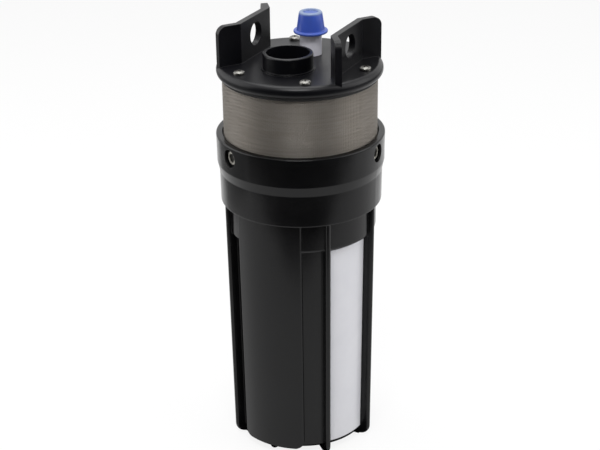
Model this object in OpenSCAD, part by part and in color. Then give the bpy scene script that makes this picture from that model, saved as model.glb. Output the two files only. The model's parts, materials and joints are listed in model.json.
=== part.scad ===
// Submersible diaphragm pump: finned motor canister, filter screen, lift plate with two rope ears.
// Upright on its feet, origin on the axis at the bottom of the feet, millimetres.
// Angles run from -Y towards +X: the outlet is at 0 degrees, the electric socket at 180.

/* [Canister] */
// Largest diameter of the pump, at the top of the collar
collar_d = 95; // [90:0.5:104]
// How far the lower band stands back from the collar
band_step = 1.4; // [0.8:0.1:2]
// How far the neck ring stands back from the lower band
neck_step = 3.3; // [2.8:0.1:4]
// How far the motor tube stands back from the neck ring
core_step = 3.1; // [2.6:0.1:3.6]
// Radius on the lower edge of the neck ring
neck_edge_r = 2; // [1:0.1:2.4]
// Moulding draft, millimetres of radius for each millimetre of height
draft = 0.011; // [0.006:0.001:0.013]
// Wall of the motor tube
can_wall = 2.7; // [2.2:0.1:3]
// Thickness of the canister floor
floor_t = 3.2; // [2.5:0.1:4]
// Length of the motor tube, from its bottom to the neck ring
core_h = 129.4; // [116:0.2:160]
// Height of the neck ring
neck_h = 17.5; // [15:0.5:20]
// Height of the lower band
band_h = 18.5; // [17:0.5:22]
// Height of the chamfer between the bands
chamfer_h = 5.6; // [4:0.2:7]
// Height of the collar
collar_h = 16.4; // [15.5:0.2:20]
// Radius on the moulded edges
edge_r = 0.8; // [0.4:0.1:1.2]

/* [Fins and pads] */
// Thickness of a fin
fin_t = 3; // [2:0.1:3.2]
// How far the fins stand back from the lower band
fin_step = 0.6; // [0.4:0.1:1.4]
// Radius of the lower outer corner of a fin
fin_corner_r = 6.5; // [3:0.5:7]
// Height of the feet below the motor tube
foot_h = 4.1; // [2:0.1:5]
// Distance from the axis at which a foot starts
foot_in_r = 28; // [20:0.5:30]
// How far the raised pads stand back from the lower band
pad_step = 2.8; // [2:0.1:3.6]
// Width of a raised pad, degrees
pad_angle = 57; // [40:1:60]
// Turn of the pads from the outlet and the socket, degrees
pad_turn = -2.5; // [-4:0.5:4]
// Radius of the lower corners of a pad
pad_corner_r = 6; // [3:0.5:8]
// Rounding of the edges of a pad
pad_edge_r = 1.6; // [1:0.1:2]

/* [Blank label] */
// Thickness of the label
label_t = 0.25; // [0.15:0.05:0.4]
// Width of the label, degrees
label_angle = 39; // [30:1:40]
// Bare strip above and below the label
label_margin = 1; // [1:0.5:10]

/* [Canister screws] */
// Diameter of the recess round a collar screw
recess_d = 10.4; // [9:0.2:11]
// Diameter of a collar screw's head
collar_head_d = 8; // [7:0.2:8.6]
// Height of a collar screw's head
collar_head_h = 1.5; // [1.2:0.1:1.6]
// Distance of the collar screws below the collar top
collar_screw_drop = 7; // [6.5:0.1:8]

/* [Filter screen] */
// Gap between the filter screen and the bore of the collar
screen_gap = 0.75; // [0.5:0.05:1]
// Thickness of the screen
screen_t = 0.6; // [0.4:0.1:0.8]
// Height from the collar top to the underside of the lift plate
screen_rise = 33; // [31:0.5:38]
// Thickness of the rubber ring under the screen
seal_t = 1.7; // [1.2:0.1:2.2]
// Thickness of the rubber ring over the screen
top_seal_t = 1.2; // [0.8:0.1:1.6]

/* [Lift plate] */
// How far the rim of the lift plate stands back from the collar
plate_step = 1.3; // [0.5:0.1:2]
// Thickness of the lift plate
plate_t = 7; // [6:0.2:9]
// Radius of the bullnose rim
plate_edge_r = 3.2; // [1.5:0.1:3.4]
// Distance from the outside of the screen to the middle of a plate screw
plate_screw_inset = 3.95; // [3.8:0.05:4.2]
// Diameter of a plate screw's head
plate_head_d = 6.2; // [5.6:0.1:6.4]
// Height of a plate screw's head
plate_head_h = 2.2; // [1.6:0.1:2.6]
// Length of a plate screw under its head
plate_screw_len = 20; // [16:1:24]

/* [Lift ears] */
// Distance from the rim of the plate to the inner face of an ear
ear_inset = 19.4; // [18.6:0.2:20]
// Thickness of an ear
ear_t = 3.6; // [2.8:0.1:4]
// Half the width of the flat web of an ear
ear_half = 17.5; // [16:0.5:18]
// Height of the ears over the plate
ear_h = 22.5; // [22:0.5:25]
// Angle by which the wings lean out
wing_angle = 35; // [30:1:38]
// Distance from the rim of the plate to the tip of a wing
wing_margin = 0.3; // [0.2:0.1:3]
// Radius of the outer top corner of a wing
wing_corner_r = 5; // [3:0.5:7]
// Diameter of the rope hole
rope_hole_d = 13; // [11:0.5:14]
// Height of the rope hole over the plate
rope_hole_z = 12.3; // [11:0.1:13]

/* [Outlet] */
// Distance from the axis to the outlet
outlet_y = 14.4; // [14:0.1:14.6]
// Outer diameter of the outlet collar
outlet_od = 27.6; // [26.8:0.1:28.4]
// Bore of the outlet collar
outlet_id = 24; // [23.6:0.1:24.4]
// Height of the outlet collar over the plate
outlet_rise = 9.1; // [7:0.1:11]
// Bore of the outlet port, for a half inch pipe thread
port_d = 18.6; // [18:0.1:19.4]
// Depth of the outlet port
port_depth = 22; // [18:0.5:23]

/* [Electric socket and cap] */
// Distance from the axis to the socket
socket_y = 14.4; // [14:0.1:14.6]
// Diameter of the socket's stem
stem_d = 12.4; // [12:0.1:12.8]
// Height of the stem over the plate
stem_rise = 12.3; // [10:0.1:14]
// Diameter of the spigot inside the cap
spigot_d = 10; // [9.6:0.1:10.2]
// Height of the spigot over the stem
spigot_h = 8.2; // [7:0.1:8.6]
// Diameter of the cap's flange
cap_flange_d = 19.2; // [18:0.1:20]
// Thickness of the cap's flange
cap_flange_t = 1.5; // [1.2:0.1:2]
// Diameter of the cap over its flange
cap_base_d = 15.8; // [14.8:0.1:16.4]
// Diameter of the cap at its top
cap_top_d = 12.8; // [12.2:0.1:13.6]
// Height of the cap
cap_h = 11.9; // [11.4:0.1:14]

/* [Pump head] */
// Gap between the screen and the diaphragm, valve plate and upper housing
head_gap = 2.05; // [1.9:0.05:2.2]
// Thickness of the diaphragm
diaphragm_t = 1.8; // [1.5:0.1:2]
// Thickness of the valve plate
valve_plate_t = 9.7; // [9.2:0.1:11]
// Distance from the rim of the pump head to the middle of a pumping chamber
chamber_inset = 17.6; // [17.4:0.1:18]
// Diameter of a pumping chamber
chamber_d = 20.6; // [20:0.1:20.8]
// Thickness of the flange of the upper housing
flange_t = 5; // [4.5:0.1:6]
// Diameter of a piston
piston_d = 14.4; // [14:0.1:14.6]
// Tilt of the wobble plate, degrees
wobble_tilt = 3; // [2:0.1:3]

/* [Motor] */
// Gap between the motor and the wall of the motor tube, at its narrow end
motor_gap = 2.6; // [2:0.1:3.2]
// Gap between the motor and the floor of the canister
motor_lift = 5.5; // [4:0.1:7]
// Distance from the top of the motor to the neck ring
motor_drop = 9.5; // [8:0.1:11]
// Wall of the motor's steel tube
motor_wall = 2.2; // [1.8:0.1:2.4]
// Diameter of the motor shaft
shaft_d = 8; // [7.6:0.1:8.4]
// Thickness of the magnets round the armature
magnet_t = 5.2; // [4.6:0.1:6.4]
// Room in the motor tube over the armature's iron core
armature_room = 22; // [18:0.5:26]
// Number of armature slots
slots = 12; // [8:1:14]

/* [Hidden] */
$fn = 72;
around_fn = 180;
eps = 0.01;
cut = 1;
// Clearances: glued or seated faces, parts pushed together, running fits
seat_gap = 0.02;
fit_gap = 0.1;
run_gap = 0.05;
free_gap = 0.4;
spring_wire_r = 0.35;
spring_turns = 4;
// How far a rolled edge stands proud of the wall it finishes
bead = 0.04;

collar_r = collar_d / 2;
band_r = collar_r - band_step;
neck_ring_r = band_r - neck_step;
core_r = neck_ring_r - core_step;
core_bottom_r = core_r - draft * core_h;
fin_r = band_r - fin_step;
pad_r = band_r - pad_step;
band_wall = 3.1;
collar_wall = 3.5;

core_z = foot_h;
floor_z = core_z + floor_t;
neck_z = core_z + core_h;
band_z = neck_z + neck_h;
chamfer_z = band_z + band_h;
collar_z = chamfer_z + chamfer_h;
collar_top = collar_z + collar_h;
plate_z = collar_top + screen_rise;
plate_top = plate_z + plate_t;

// Ribs round the canister; those behind the pads show only their feet
ribs = 8;
rib_pitch = 360 / ribs;
pad_angles = [pad_turn, 180 + pad_turn];
fin_angles = [for (a = ring_angles(ribs, 0)) if (a % 180 != 0) a];
label_start = rib_pitch + (rib_pitch - label_angle) / 2;
collar_screws = 3;
collar_screw_start = -30;
plate_screw_start = 30;
chamber_start = 30;
chambers = 3;
plate_screws = 6;
head_screws = 6;

socket_floor_z = band_z + 3;
socket_r = band_r - band_wall;
collar_bore_r = collar_r - collar_wall;
screen_r = collar_bore_r - screen_gap;
head_r = screen_r - screen_t - head_gap;
plate_r = collar_r - plate_step;
rim_r = min(plate_edge_r, plate_t / 2 - bead);
plate_screw_pr = screen_r - plate_screw_inset;
chamber_pr = head_r - chamber_inset;
deck_drop = 3.5;
deck_z = collar_top - deck_drop;
recess_depth = 2.8;
collar_screw_z = collar_top - collar_screw_drop;
collar_screw_r = 2.2;
collar_screw_grip = 6;
collar_screw_tip_r = socket_r - collar_screw_grip;
recess_r = collar_r - recess_depth;

head_screw_inset = 2.3;
head_screw_pr = head_r - head_screw_inset;
support_gap = 3.5;
support_r = head_screw_pr - support_gap;
support_t = 5;
support_ledge = 2.5;
housing_bore_r = support_r - support_ledge;
housing_gap = 1.5;
housing_low_r = core_r - can_wall - housing_gap;
housing_lip_w = 11.5;
housing_lip_r = housing_low_r - housing_lip_w;
housing_lip_t = 8;
housing_r = socket_r - fit_gap;
o_ring_r = 1.2;
o_ring_z = socket_floor_z + 8;
o_groove_r = socket_r - 2 * o_ring_r - 2 * run_gap;
motor_top = neck_z - motor_drop;
motor_z = floor_z + motor_lift;
motor_r = core_bottom_r - can_wall - motor_gap;
motor_bore_r = motor_r - motor_wall;

diaphragm_top = deck_z + diaphragm_t;
valve_top = diaphragm_top + valve_plate_t;
flange_top = valve_top + flange_t;
chamber_roof = valve_top - 2.9;
pivot_z = deck_z + diaphragm_t / 2;

head_screw_r = 2;
head_screw_head_r = 3;
head_screw_head_h = 2;
head_screw_grip = 14;
head_screw_z = deck_z - head_screw_grip;
boss_r = 3.1;
plate_screw_r = 1.9;

lead_inset = 3;
lead_xy = [-6, chamber_pr + lead_inset];
lead_r = 1.1;
lead_step = 1.6;
lead_hole_r = 3.2;
lead_bend = [14, 17];

stroke = (chamber_pr + piston_d / 2) * sin(wobble_tilt);
pad_top = deck_z - stroke - free_gap;
disc_z = diaphragm_top + stroke + free_gap;
disc_t = 1.5;
piston_room = 2.2;
neck_r = 5;
piston_screw_r = 1.4;
piston_screw_head_r = 2.6;
piston_screw_head_h = 0.9;
diaphragm_hole_r = neck_r + 1.3;
roll_r = 1;

bearing_r = 11;
bearing_w = 7;
balls = 7;
race_share = 0.32;
ball_share = 0.28;
cage_t = 1.4;
bell_floor = 3;
rear_bell_t = bearing_w + bell_floor;
front_bell_t = 12;
can_z = motor_z + rear_bell_t;
can_top = motor_top - front_bell_t;
bolts = 2;
bolt_r = 2;
bolt_head_r = 3.6;
bolt_head_h = 3;
bolt_pr = motor_bore_r - bolt_r - free_gap;
commutator_z = can_z + 4;
commutator_h = 12;
commutator_r = 10.5;
winding_h = 8;
magnet_gap = 0.9;
magnet_r = motor_bore_r - fit_gap;
armature_r = magnet_r - magnet_t - magnet_gap;
slot_w = 4;
slot_depth = 11.6;
slot_r = armature_r - slot_depth;
tooth_tip = 1.2;
winding_gap = 0.2;
winding_lift = 2;
armature_z = commutator_z + commutator_h + winding_lift + winding_h;
armature_len = can_top - armature_room - armature_z;
shaft_z = motor_z + bell_floor + free_gap;
brush_w = 6;
brush_h = 9;
brush_z = commutator_z + commutator_h / 2;
brush_in = commutator_r + run_gap;
brush_spring_len = 5;
brush_spring_r = 2.2;
holder_clear = 2.5;
holder_in = commutator_r + holder_clear;
holder_wall = 1.2;
holder_gap = 5.8;
holder_out = motor_bore_r - holder_gap;
brush_out = holder_out - brush_spring_len;
magnet_angle = 130;
magnet_margin = 4;

cam_bearing_or = 16;
cam_bearing_ir = 7.5;
cam_bearing_w = 9;
cam_drop = 27;
cam_z = pivot_z - cam_drop;
cam_hub_r = 10;
cam_hub_h = 10;
cam_collar_h = 12;
arm_t = 6;
arm_w = 12;
arm_z = cam_z + cam_bearing_w + 2;
wobble_ring_r = 20;
shaft_top = cam_z + cam_bearing_w - 3;

valve_disc_r = 4;
valve_disc_t = 1.2;
valve_stem_r = 1.2;
inlet_shift = 5;
outlet_shift = 5.5;
inlet_pr = chamber_pr + inlet_shift;
outlet_pr = chamber_pr - outlet_shift;
valve_ports = 4;
valve_port_r = 0.9;
valve_port_pr = 2.6;
valve_stem_len = 2;

body_gap = 5.2;
body_r = plate_screw_pr - boss_r - body_gap;
body_h = 11.5;
body_top = flange_top + body_h;
plenum_h = 2.6;
inlet_ring_in = 3;
inlet_ring_out = 5.5;
inlet_ring_r = [inlet_pr - inlet_ring_in, inlet_pr + inlet_ring_out];
plenum_wall = 2.7;
plenum_r = inlet_ring_r[0] - plenum_wall;
inlet_slots = 12;
inlet_slot_w = 6;
tower_gap = 0.25;
tower_drop = 1.5;
tower_r = outlet_id / 2 - tower_gap;
tower_top = plate_top - tower_drop;
port_r = port_d / 2;
port_z = tower_top - port_depth;
washer_t = 1.5;
washer_r = port_r - 1;
passage_r = 6;
tunnel_r = 3.6;
tunnel_end_r = tunnel_r + free_gap;
tunnel_z = flange_top + 1 + tunnel_end_r;
socket_boss_r = 9.5;
socket_flange_r = 8.2;
socket_flange_t = 2.5;
socket_seal_t = 1;
socket_flange_top = plate_z - socket_seal_t;
socket_boss_top = socket_flange_top - socket_flange_t;
stem_top = plate_top + stem_rise;
spigot_top = stem_top + spigot_h;
socket_bore_r = 3.9;
socket_bore_z = stem_top - 6;
pin_r = 0.8;
pin_x = 1.9;
pin_top = spigot_top - 3;
pin_z = socket_boss_top - 3;
cap_gap = 0.15;
cap_z = stem_top + fit_gap;
cap_top = cap_z + cap_h;
cap_bore_top = spigot_top + 1;
cap_dish_r = 4.2;
cap_dish_h = 1;

bypass_inset = 13;
bypass_x = body_r - bypass_inset;
bypass_r = 4.2;
bypass_z = flange_top + 0.5;
bypass_seat_r = 2.2;
bypass_disc_t = 1.8;
bypass_stem_r = 1.4;
bypass_lift = 2.2;
bypass_spring_r = 2.6;
plug_t = 3;
plug_z = body_top - plug_t;

// Radius of a drafted wall of radius r at the lower band, at height z
function drafted(r, z) = r - draft * (band_z - z);
// Point at radius r and angle a, from -Y towards +X
function polar(r, a) = [r * sin(a), -r * cos(a)];
// Points of an arc round c
function arc(c, r, a0, a1, n = 5) =
    [for (i = [0:n]) let (a = a0 + (a1 - a0) * i / n) c + r * [cos(a), sin(a)]];
// Length of a line from point p along direction d to the circle of radius r
function run_to(p, d, r) = sqrt((p * d) * (p * d) + r * r - p * p) - p * d;
// Evenly spaced angles
function ring_angles(n, start) = [for (i = [0:n - 1]) start + 360 * i / n];

ear_x = plate_r - ear_inset;
ear_fold = [ear_x, ear_half];
wing_dir = [sin(wing_angle), cos(wing_angle)];
wing_side = ear_t * [cos(wing_angle), -sin(wing_angle)];
wing_len = run_to(ear_fold + wing_side, wing_dir, plate_r - wing_margin);

// Places its children at each angle
module around(angles) {
    for (a = angles) rotate([0, 0, a]) children();
}

// Places its children at each pumping chamber
module at_chambers(r) {
    around(ring_angles(chambers, chamber_start)) translate([0, -r, 0]) children();
}

// Places its children at the screws that hold the pump head together
module at_head_screws() {
    around(ring_angles(head_screws, 0)) translate([0, -head_screw_pr, 0]) children();
}

// Places its children at the screws of the lift plate
module at_plate_screws() {
    around(ring_angles(plate_screws, plate_screw_start)) translate([0, -plate_screw_pr, 0]) children();
}

// Places its children along the collar screws, their Z axis pointing outwards
module at_collar_screws() {
    around(ring_angles(collar_screws, collar_screw_start))
        translate([0, 0, collar_screw_z]) rotate([90, 0, 0]) children();
}

// Places its children at the two motor bolts
module at_bolts() {
    around(ring_angles(bolts, 0)) translate([0, -bolt_pr, 0]) children();
}

// Places its children where the leads run down
module at_leads() {
    translate([lead_xy.x, lead_xy.y, 0]) children();
}

// Tilts its children about the wobble centre
module tilted() {
    translate([0, 0, pivot_z]) rotate([wobble_tilt, 0, 0]) translate([0, 0, -pivot_z]) children();
}

// Tube with square ends
module tube(r_out, r_in, z0, z1) {
    translate([0, 0, z0]) difference() {
        cylinder(r = r_out, h = z1 - z0, $fn = around_fn);
        translate([0, 0, -cut]) cylinder(r = r_in, h = z1 - z0 + 2 * cut, $fn = around_fn);
    }
}

// Plain round bar
module bar(r, z0, z1) {
    translate([0, 0, z0]) cylinder(r = r, h = z1 - z0);
}

// Direction of a route at point i, halfway between its two runs
function heading(p, i) =
    let (last = len(p) - 1, v = p[min(i + 1, last)] - p[i], u = p[i] - p[max(i - 1, 0)])
    (norm(u) == 0 ? v : norm(v) == 0 ? u : u / norm(u) + v / norm(v));

// Joins rings of points, one after the other, to a closed skin
module skinned(points, rings, sides) {
    ends = [[for (j = [0:sides - 1]) j], [for (j = [sides - 1:-1:0]) (rings - 1) * sides + j]];
    skin = [for (i = [0:rings - 2], j = [0:sides - 1], half = [0, 1])
        let (a = i * sides + j, b = i * sides + (j + 1) % sides)
        half == 0 ? [a, a + sides, b + sides] : [a, b + sides, b]];
    polyhedron(points, concat(ends, skin));
}

// Round wire through a list of points
module wire(route, r) {
    sides = 8;
    points = [for (i = [0:len(route) - 1])
        let (h = heading(route, i), u = cross(h, [1, 0, 0]), w = cross(h, u))
        for (j = [0:sides - 1])
            route[i] + r * (u / norm(u) * cos(360 * j / sides) + w / norm(w) * sin(360 * j / sides))];
    skinned(points, len(route), sides);
}

// Helical spring along Z, its end turns closed onto flat seats
module coil(r, wire_r, h, turns) {
    steps = 8 * turns;
    sides = 6;
    rise = h - 2 * wire_r;
    points = [for (i = [0:steps], j = [0:sides - 1])
        let (a = 360 * turns * i / steps, b = 360 * j / sides, w = r + wire_r * cos(b))
        [w * cos(a), w * sin(a), wire_r + rise * i / steps + wire_r * sin(b)]];
    skinned(points, steps + 1, sides);
}

module canister_shell() {
    low_collar_r = collar_r - draft * collar_h;
    e = edge_r;
    rotate_extrude($fn = around_fn) polygon(concat(
        [[0, core_z]],
        arc([core_bottom_r - 2 * e, core_z + 2 * e], 2 * e, -90, 0),
        [[core_r, neck_z]],
        arc([neck_ring_r - neck_edge_r, neck_z + neck_edge_r], neck_edge_r, -90, 0),
        [[neck_ring_r, band_z]],
        arc([band_r - draft * band_h - e, band_z + e], e, -90, 0),
        [[band_r, chamfer_z], [low_collar_r, collar_z]],
        arc([collar_r - e, collar_top - e], e, 0, 90),
        [[0, collar_top]]));
}

module canister_cavity() {
    rotate_extrude($fn = around_fn) polygon([
        [0, floor_z],
        [core_bottom_r - can_wall, floor_z],
        [core_r - can_wall, neck_z],
        [core_r - can_wall, socket_floor_z],
        [socket_r, socket_floor_z],
        [socket_r, deck_z - fit_gap],
        [collar_bore_r, deck_z - fit_gap],
        [collar_bore_r, collar_top + cut],
        [0, collar_top + cut]]);
}

// Straight roll along the drafted edge of radius r, from height z0 to z1
module edge_roll(r, roll, z0, z1) {
    low = drafted(r, z0) - roll;
    high = drafted(r, z1) - roll;
    lean = atan((high - low) / (z1 - z0));
    translate([0, -low, z0]) rotate([lean, 0, 0])
        cylinder(r = roll + bead, h = (z1 - z0) / cos(lean), $fn = 32);
}

// Upright rib out to radius r and up to height top, with a rolled outer edge and a round lower corner,
// its foot flat on the ground
module fin(r, top) {
    roll = fin_t / 2;
    inner_r = core_bottom_r - can_wall / 2;
    c = fin_corner_r;
    corner_r = drafted(r, c) - c;
    floor_mid = core_z + floor_t / 2;
    rotate([90, 0, -90]) linear_extrude(fin_t, center = true) {
        polygon([[foot_in_r, 0], [corner_r, 0], [corner_r + c - roll, c],
            [drafted(r, top) - roll, top], [inner_r, top],
            [inner_r, floor_mid], [foot_in_r, floor_mid]]);
        intersection() {
            translate([corner_r, c]) circle(r = c - roll);
            translate([corner_r, 0]) square(c);
        }
    }
    edge_roll(r, roll, c, top);
    translate([0, -corner_r, c]) rotate([0, 90, 0]) rotate([0, 0, -90]) rotate_extrude(angle = 90)
        translate([c - roll, 0]) circle(r = roll + bead, $fn = 32);
}

// Raised arc of the tube wall, with rolled side edges and round lower corners
module pad() {
    e = pad_edge_r;
    low = core_z + edge_r;
    top = band_z + edge_r;
    inner_r = core_bottom_r - can_wall / 2;
    low_r = drafted(pad_r, low);
    top_r = drafted(pad_r, top);
    half = pad_angle / 2 - asin(e / (low_r - e));
    difference() {
        union() {
            rotate([0, 0, -90 - half]) rotate_extrude(angle = 2 * half, $fn = around_fn)
                polygon([[inner_r, low], [low_r, low], [top_r, top], [inner_r, top]]);
            for (side = [0, 1]) mirror([side, 0, 0]) rotate([0, 0, half]) {
                edge_roll(pad_r, e, low, top);
                translate([-e, 0, 0]) rotate([90, 0, 90]) linear_extrude(2 * e - bead)
                    polygon([[-inner_r, low], [e - low_r, low], [e - top_r, top], [-inner_r, top]]);
            }
        }
        for (side = [0, 1]) mirror([side, 0, 0]) rotate([0, 0, pad_angle / 2]) pad_corner_cut(low);
    }
}

// Cuts the lower corner of a pad round, seen from outside
module pad_corner_cut(low) {
    c = pad_corner_r;
    reach = 2 * pad_r;
    translate([-c, -reach, low + c]) difference() {
        translate([0, 0, -c - cut]) cube([c + cut, reach, c + cut]);
        rotate([-90, 0, 0]) bar(c + bead, -cut, reach + cut);
    }
}

module canister() {
    color("#2b2b2d") difference() {
        union() {
            canister_shell();
            around(fin_angles) fin(fin_r, band_z + edge_r);
            around(pad_angles) fin(pad_r - edge_r / 2, neck_z / 2);
            around(pad_angles) pad();
        }
        canister_cavity();
        at_collar_screws() {
            bar(recess_d / 2, recess_r, recess_r + recess_depth + cut);
            bar(collar_screw_r + fit_gap, socket_r - cut, recess_r + cut);
        }
    }
}

module blank_label() {
    low = core_z + 2 * edge_r + label_margin;
    high = neck_z - label_margin;
    low_r = core_r - draft * (neck_z - low) + seat_gap;
    high_r = core_r - draft * label_margin + seat_gap;
    color("#d2d2d2") rotate([0, 0, label_start - 90]) rotate_extrude(angle = label_angle, $fn = around_fn)
        polygon([[low_r, low], [low_r + label_t, low], [high_r + label_t, high], [high_r, high]]);
}

module canister_screws() {
    dome = 0.5;
    color("#c9c7c0") at_collar_screws() {
        bar(collar_screw_r, collar_screw_tip_r, recess_r + eps);
        bar(collar_head_d / 2, recess_r, recess_r + collar_head_h - dome);
        translate([0, 0, recess_r + collar_head_h - dome])
            cylinder(d1 = collar_head_d, d2 = collar_head_d - 2 * dome, h = dome);
    }
}

module canister_seal_ring() {
    color("#1b1b1b") translate([0, 0, o_ring_z]) rotate_extrude($fn = around_fn)
        translate([socket_r - run_gap - o_ring_r, 0]) circle(r = o_ring_r, $fn = 24);
}

module lower_housing() {
    groove_h = 2 * o_ring_r + 2 * fit_gap;
    color("#35373a") difference() {
        rotate_extrude($fn = around_fn) polygon([
            [housing_lip_r, motor_top], [housing_low_r, motor_top],
            [housing_low_r, socket_floor_z], [housing_r, socket_floor_z],
            [housing_r, o_ring_z - groove_h / 2], [o_groove_r, o_ring_z - groove_h / 2],
            [o_groove_r, o_ring_z + groove_h / 2], [housing_r, o_ring_z + groove_h / 2],
            [housing_r, deck_z], [support_r + fit_gap, deck_z],
            [support_r + fit_gap, deck_z - support_t], [housing_bore_r, deck_z - support_t],
            [housing_bore_r, motor_top + housing_lip_t], [housing_lip_r, motor_top + housing_lip_t]]);
        at_head_screws() bar(head_screw_r + seat_gap, head_screw_z - cut, deck_z + cut);
        at_collar_screws() bar(collar_screw_r + seat_gap, collar_screw_tip_r - fit_gap, socket_r + cut);
        at_bolts() bar(bolt_r + seat_gap, motor_top - cut, motor_top + housing_lip_t + cut);
        at_leads() bar(lead_hole_r, motor_top - cut, motor_top + housing_lip_t + cut);
    }
}

module diaphragm_support() {
    color("#3a3c40") difference() {
        bar(support_r, deck_z - support_t, deck_z);
        at_chambers(chamber_pr) bar(piston_d / 2 + piston_room, deck_z - support_t - cut, deck_z + cut);
        at_leads() bar(lead_hole_r, deck_z - support_t - cut, deck_z + cut);
    }
}

module motor_can() {
    color("#8d9096") tube(motor_r, motor_bore_r, can_z, can_top);
}

module motor_magnets() {
    r_in = magnet_r - magnet_t;
    color("#3b3b3f") for (side = [90, 270]) rotate([0, 0, side - 90 - magnet_angle / 2])
        translate([0, 0, armature_z - magnet_margin]) rotate_extrude(angle = magnet_angle, $fn = around_fn)
            translate([r_in, 0]) square([magnet_t, armature_len + 2 * magnet_margin]);
}

module rear_end_bell() {
    color("#a9abb0") difference() {
        bar(motor_r, motor_z, can_z);
        bar(bearing_r + seat_gap, motor_z + bell_floor, can_z + cut);
        at_bolts() bar(bolt_r + fit_gap, motor_z - cut, can_z + cut);
    }
}

module front_end_bell() {
    color("#a9abb0") difference() {
        union() {
            bar(motor_r, can_top, motor_top);
            bar(housing_low_r - fit_gap, motor_top - bell_floor, motor_top);
        }
        bar(bearing_r + seat_gap, can_top - cut, can_top + bearing_w);
        bar(shaft_d / 2 + 2, can_top, motor_top + cut);
        at_bolts() bar(bolt_r + fit_gap, can_top - cut, motor_top + cut);
        at_leads() bar(lead_hole_r, can_top - cut, motor_top + cut);
    }
}

module motor_bolts() {
    color("#c9c7c0") at_bolts() {
        bar(bolt_r, motor_z - eps, motor_top + housing_lip_t - cut);
        bar(bolt_head_r, motor_z - bolt_head_h, motor_z);
    }
}

// Ball bearing: two rings, joined by the cage that carries a row of balls
module ball_bearing(r_out, r_in, z, w) {
    depth = r_out - r_in;
    race = depth * race_share;
    mid = z + w / 2;
    tube(r_out, r_out - race, z, z + w);
    tube(r_in + race, r_in, z, z + w);
    tube(r_out - race / 2, r_in + race / 2, mid - cage_t / 2, mid + cage_t / 2);
    for (a = ring_angles(balls, 0)) translate(concat(polar(r_in + depth / 2, a), [mid]))
        sphere(r = depth * ball_share, $fn = 24);
}

module rear_bearing() {
    color("#b8bbc0") ball_bearing(bearing_r, shaft_d / 2 + run_gap, motor_z + bell_floor, bearing_w);
}

module front_bearing() {
    color("#b8bbc0") ball_bearing(bearing_r, shaft_d / 2 + run_gap, can_top, bearing_w);
}

module brush_holders() {
    w = brush_w + 2 * fit_gap;
    h = brush_h + 2 * fit_gap;
    t = holder_wall;
    color("#a98a4b") around([90, 270]) difference() {
        translate([-w / 2 - t, -holder_out - t, can_z])
            cube([w + 2 * t, holder_out + t - holder_in, brush_z - can_z + h / 2 + t]);
        translate([-w / 2, -holder_out, brush_z - h / 2]) cube([w, holder_out - holder_in + cut, h]);
    }
}

module carbon_brushes() {
    color("#2d2d2f") around([90, 270]) difference() {
        translate([-brush_w / 2, -brush_out, brush_z - brush_h / 2])
            cube([brush_w, brush_out - commutator_r + cut, brush_h]);
        bar(brush_in, brush_z - brush_h, brush_z + brush_h);
    }
}

module brush_springs() {
    color("#b5b5b0") around([90, 270]) translate([0, -brush_out - seat_gap, brush_z]) rotate([90, 0, 0])
        coil(brush_spring_r, spring_wire_r, brush_spring_len - 2 * seat_gap, spring_turns);
}

module motor_leads() {
    low = can_z + 2 * lead_r;
    holder_y = brush_w / 2 + holder_wall + fit_gap + lead_r + fit_gap;
    holder_x = (holder_in + holder_out) / 2;
    color("#b03028") for (side = [-1, 1]) {
        x = lead_xy.x + side * lead_step;
        wire([
            [side * pin_x, socket_y, pin_z - fit_gap],
            [side * pin_x, socket_y, tunnel_z],
            [x, lead_xy.y, tunnel_z],
            [x, lead_xy.y, low],
            [side * lead_bend.x, lead_bend.y, low],
            [side * holder_x, holder_y, low]], lead_r);
    }
}

module motor_shaft() {
    color("#c4c6ca") bar(shaft_d / 2, shaft_z, shaft_top);
}

module armature_core() {
    tooth_r = armature_r - tooth_tip;
    color("#6f7276") difference() {
        bar(armature_r, armature_z, armature_z + armature_len);
        bar(shaft_d / 2, armature_z - cut, armature_z + armature_len + cut);
        around(ring_angles(slots, 0)) translate([-slot_w / 2, -tooth_r, armature_z - cut])
            cube([slot_w, tooth_r - slot_r, armature_len + 2 * cut]);
        around(ring_angles(slots, 0)) translate([-slot_w / 4, -tooth_r - tooth_tip - cut, armature_z - cut])
            cube([slot_w / 2, tooth_tip + 2 * cut, armature_len + 2 * cut]);
    }
}

module armature_windings() {
    r_out = armature_r - tooth_tip - winding_gap;
    color("#b5682f") {
        for (z = [armature_z - winding_h, armature_z + armature_len + winding_gap])
            tube(r_out, slot_r + winding_gap, z, z + winding_h - winding_gap);
        around(ring_angles(slots, 0))
            translate([-slot_w / 2 + winding_gap, -r_out, armature_z - winding_h / 2])
            cube([slot_w - 2 * winding_gap, r_out - slot_r - winding_gap, armature_len + winding_h]);
    }
}

module commutator() {
    groove = 0.6;
    color("#c07a3c") difference() {
        bar(commutator_r, commutator_z, commutator_z + commutator_h);
        bar(shaft_d / 2, commutator_z - cut, commutator_z + commutator_h + cut);
        around(ring_angles(slots, 180 / slots))
            translate([-groove / 2, -commutator_r - cut, commutator_z - cut])
            cube([groove, 2 * cut, commutator_h + 2 * cut]);
    }
}

module cam_hub() {
    color("#9ea1a6") difference() {
        union() {
            bar(cam_hub_r, cam_z - cam_hub_h, cam_z - 2);
            bar(shaft_d / 2 + 3, cam_z - cam_hub_h - cam_collar_h, cam_z - cam_hub_h);
            tilted() bar(cam_bearing_ir - run_gap, cam_z - 3, cam_z + cam_bearing_w);
        }
        bar(shaft_d / 2, cam_z - cam_hub_h - cam_collar_h - cut, shaft_top);
    }
}

module cam_bearing() {
    color("#b8bbc0") tilted() ball_bearing(cam_bearing_or, cam_bearing_ir, cam_z, cam_bearing_w);
}

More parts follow.
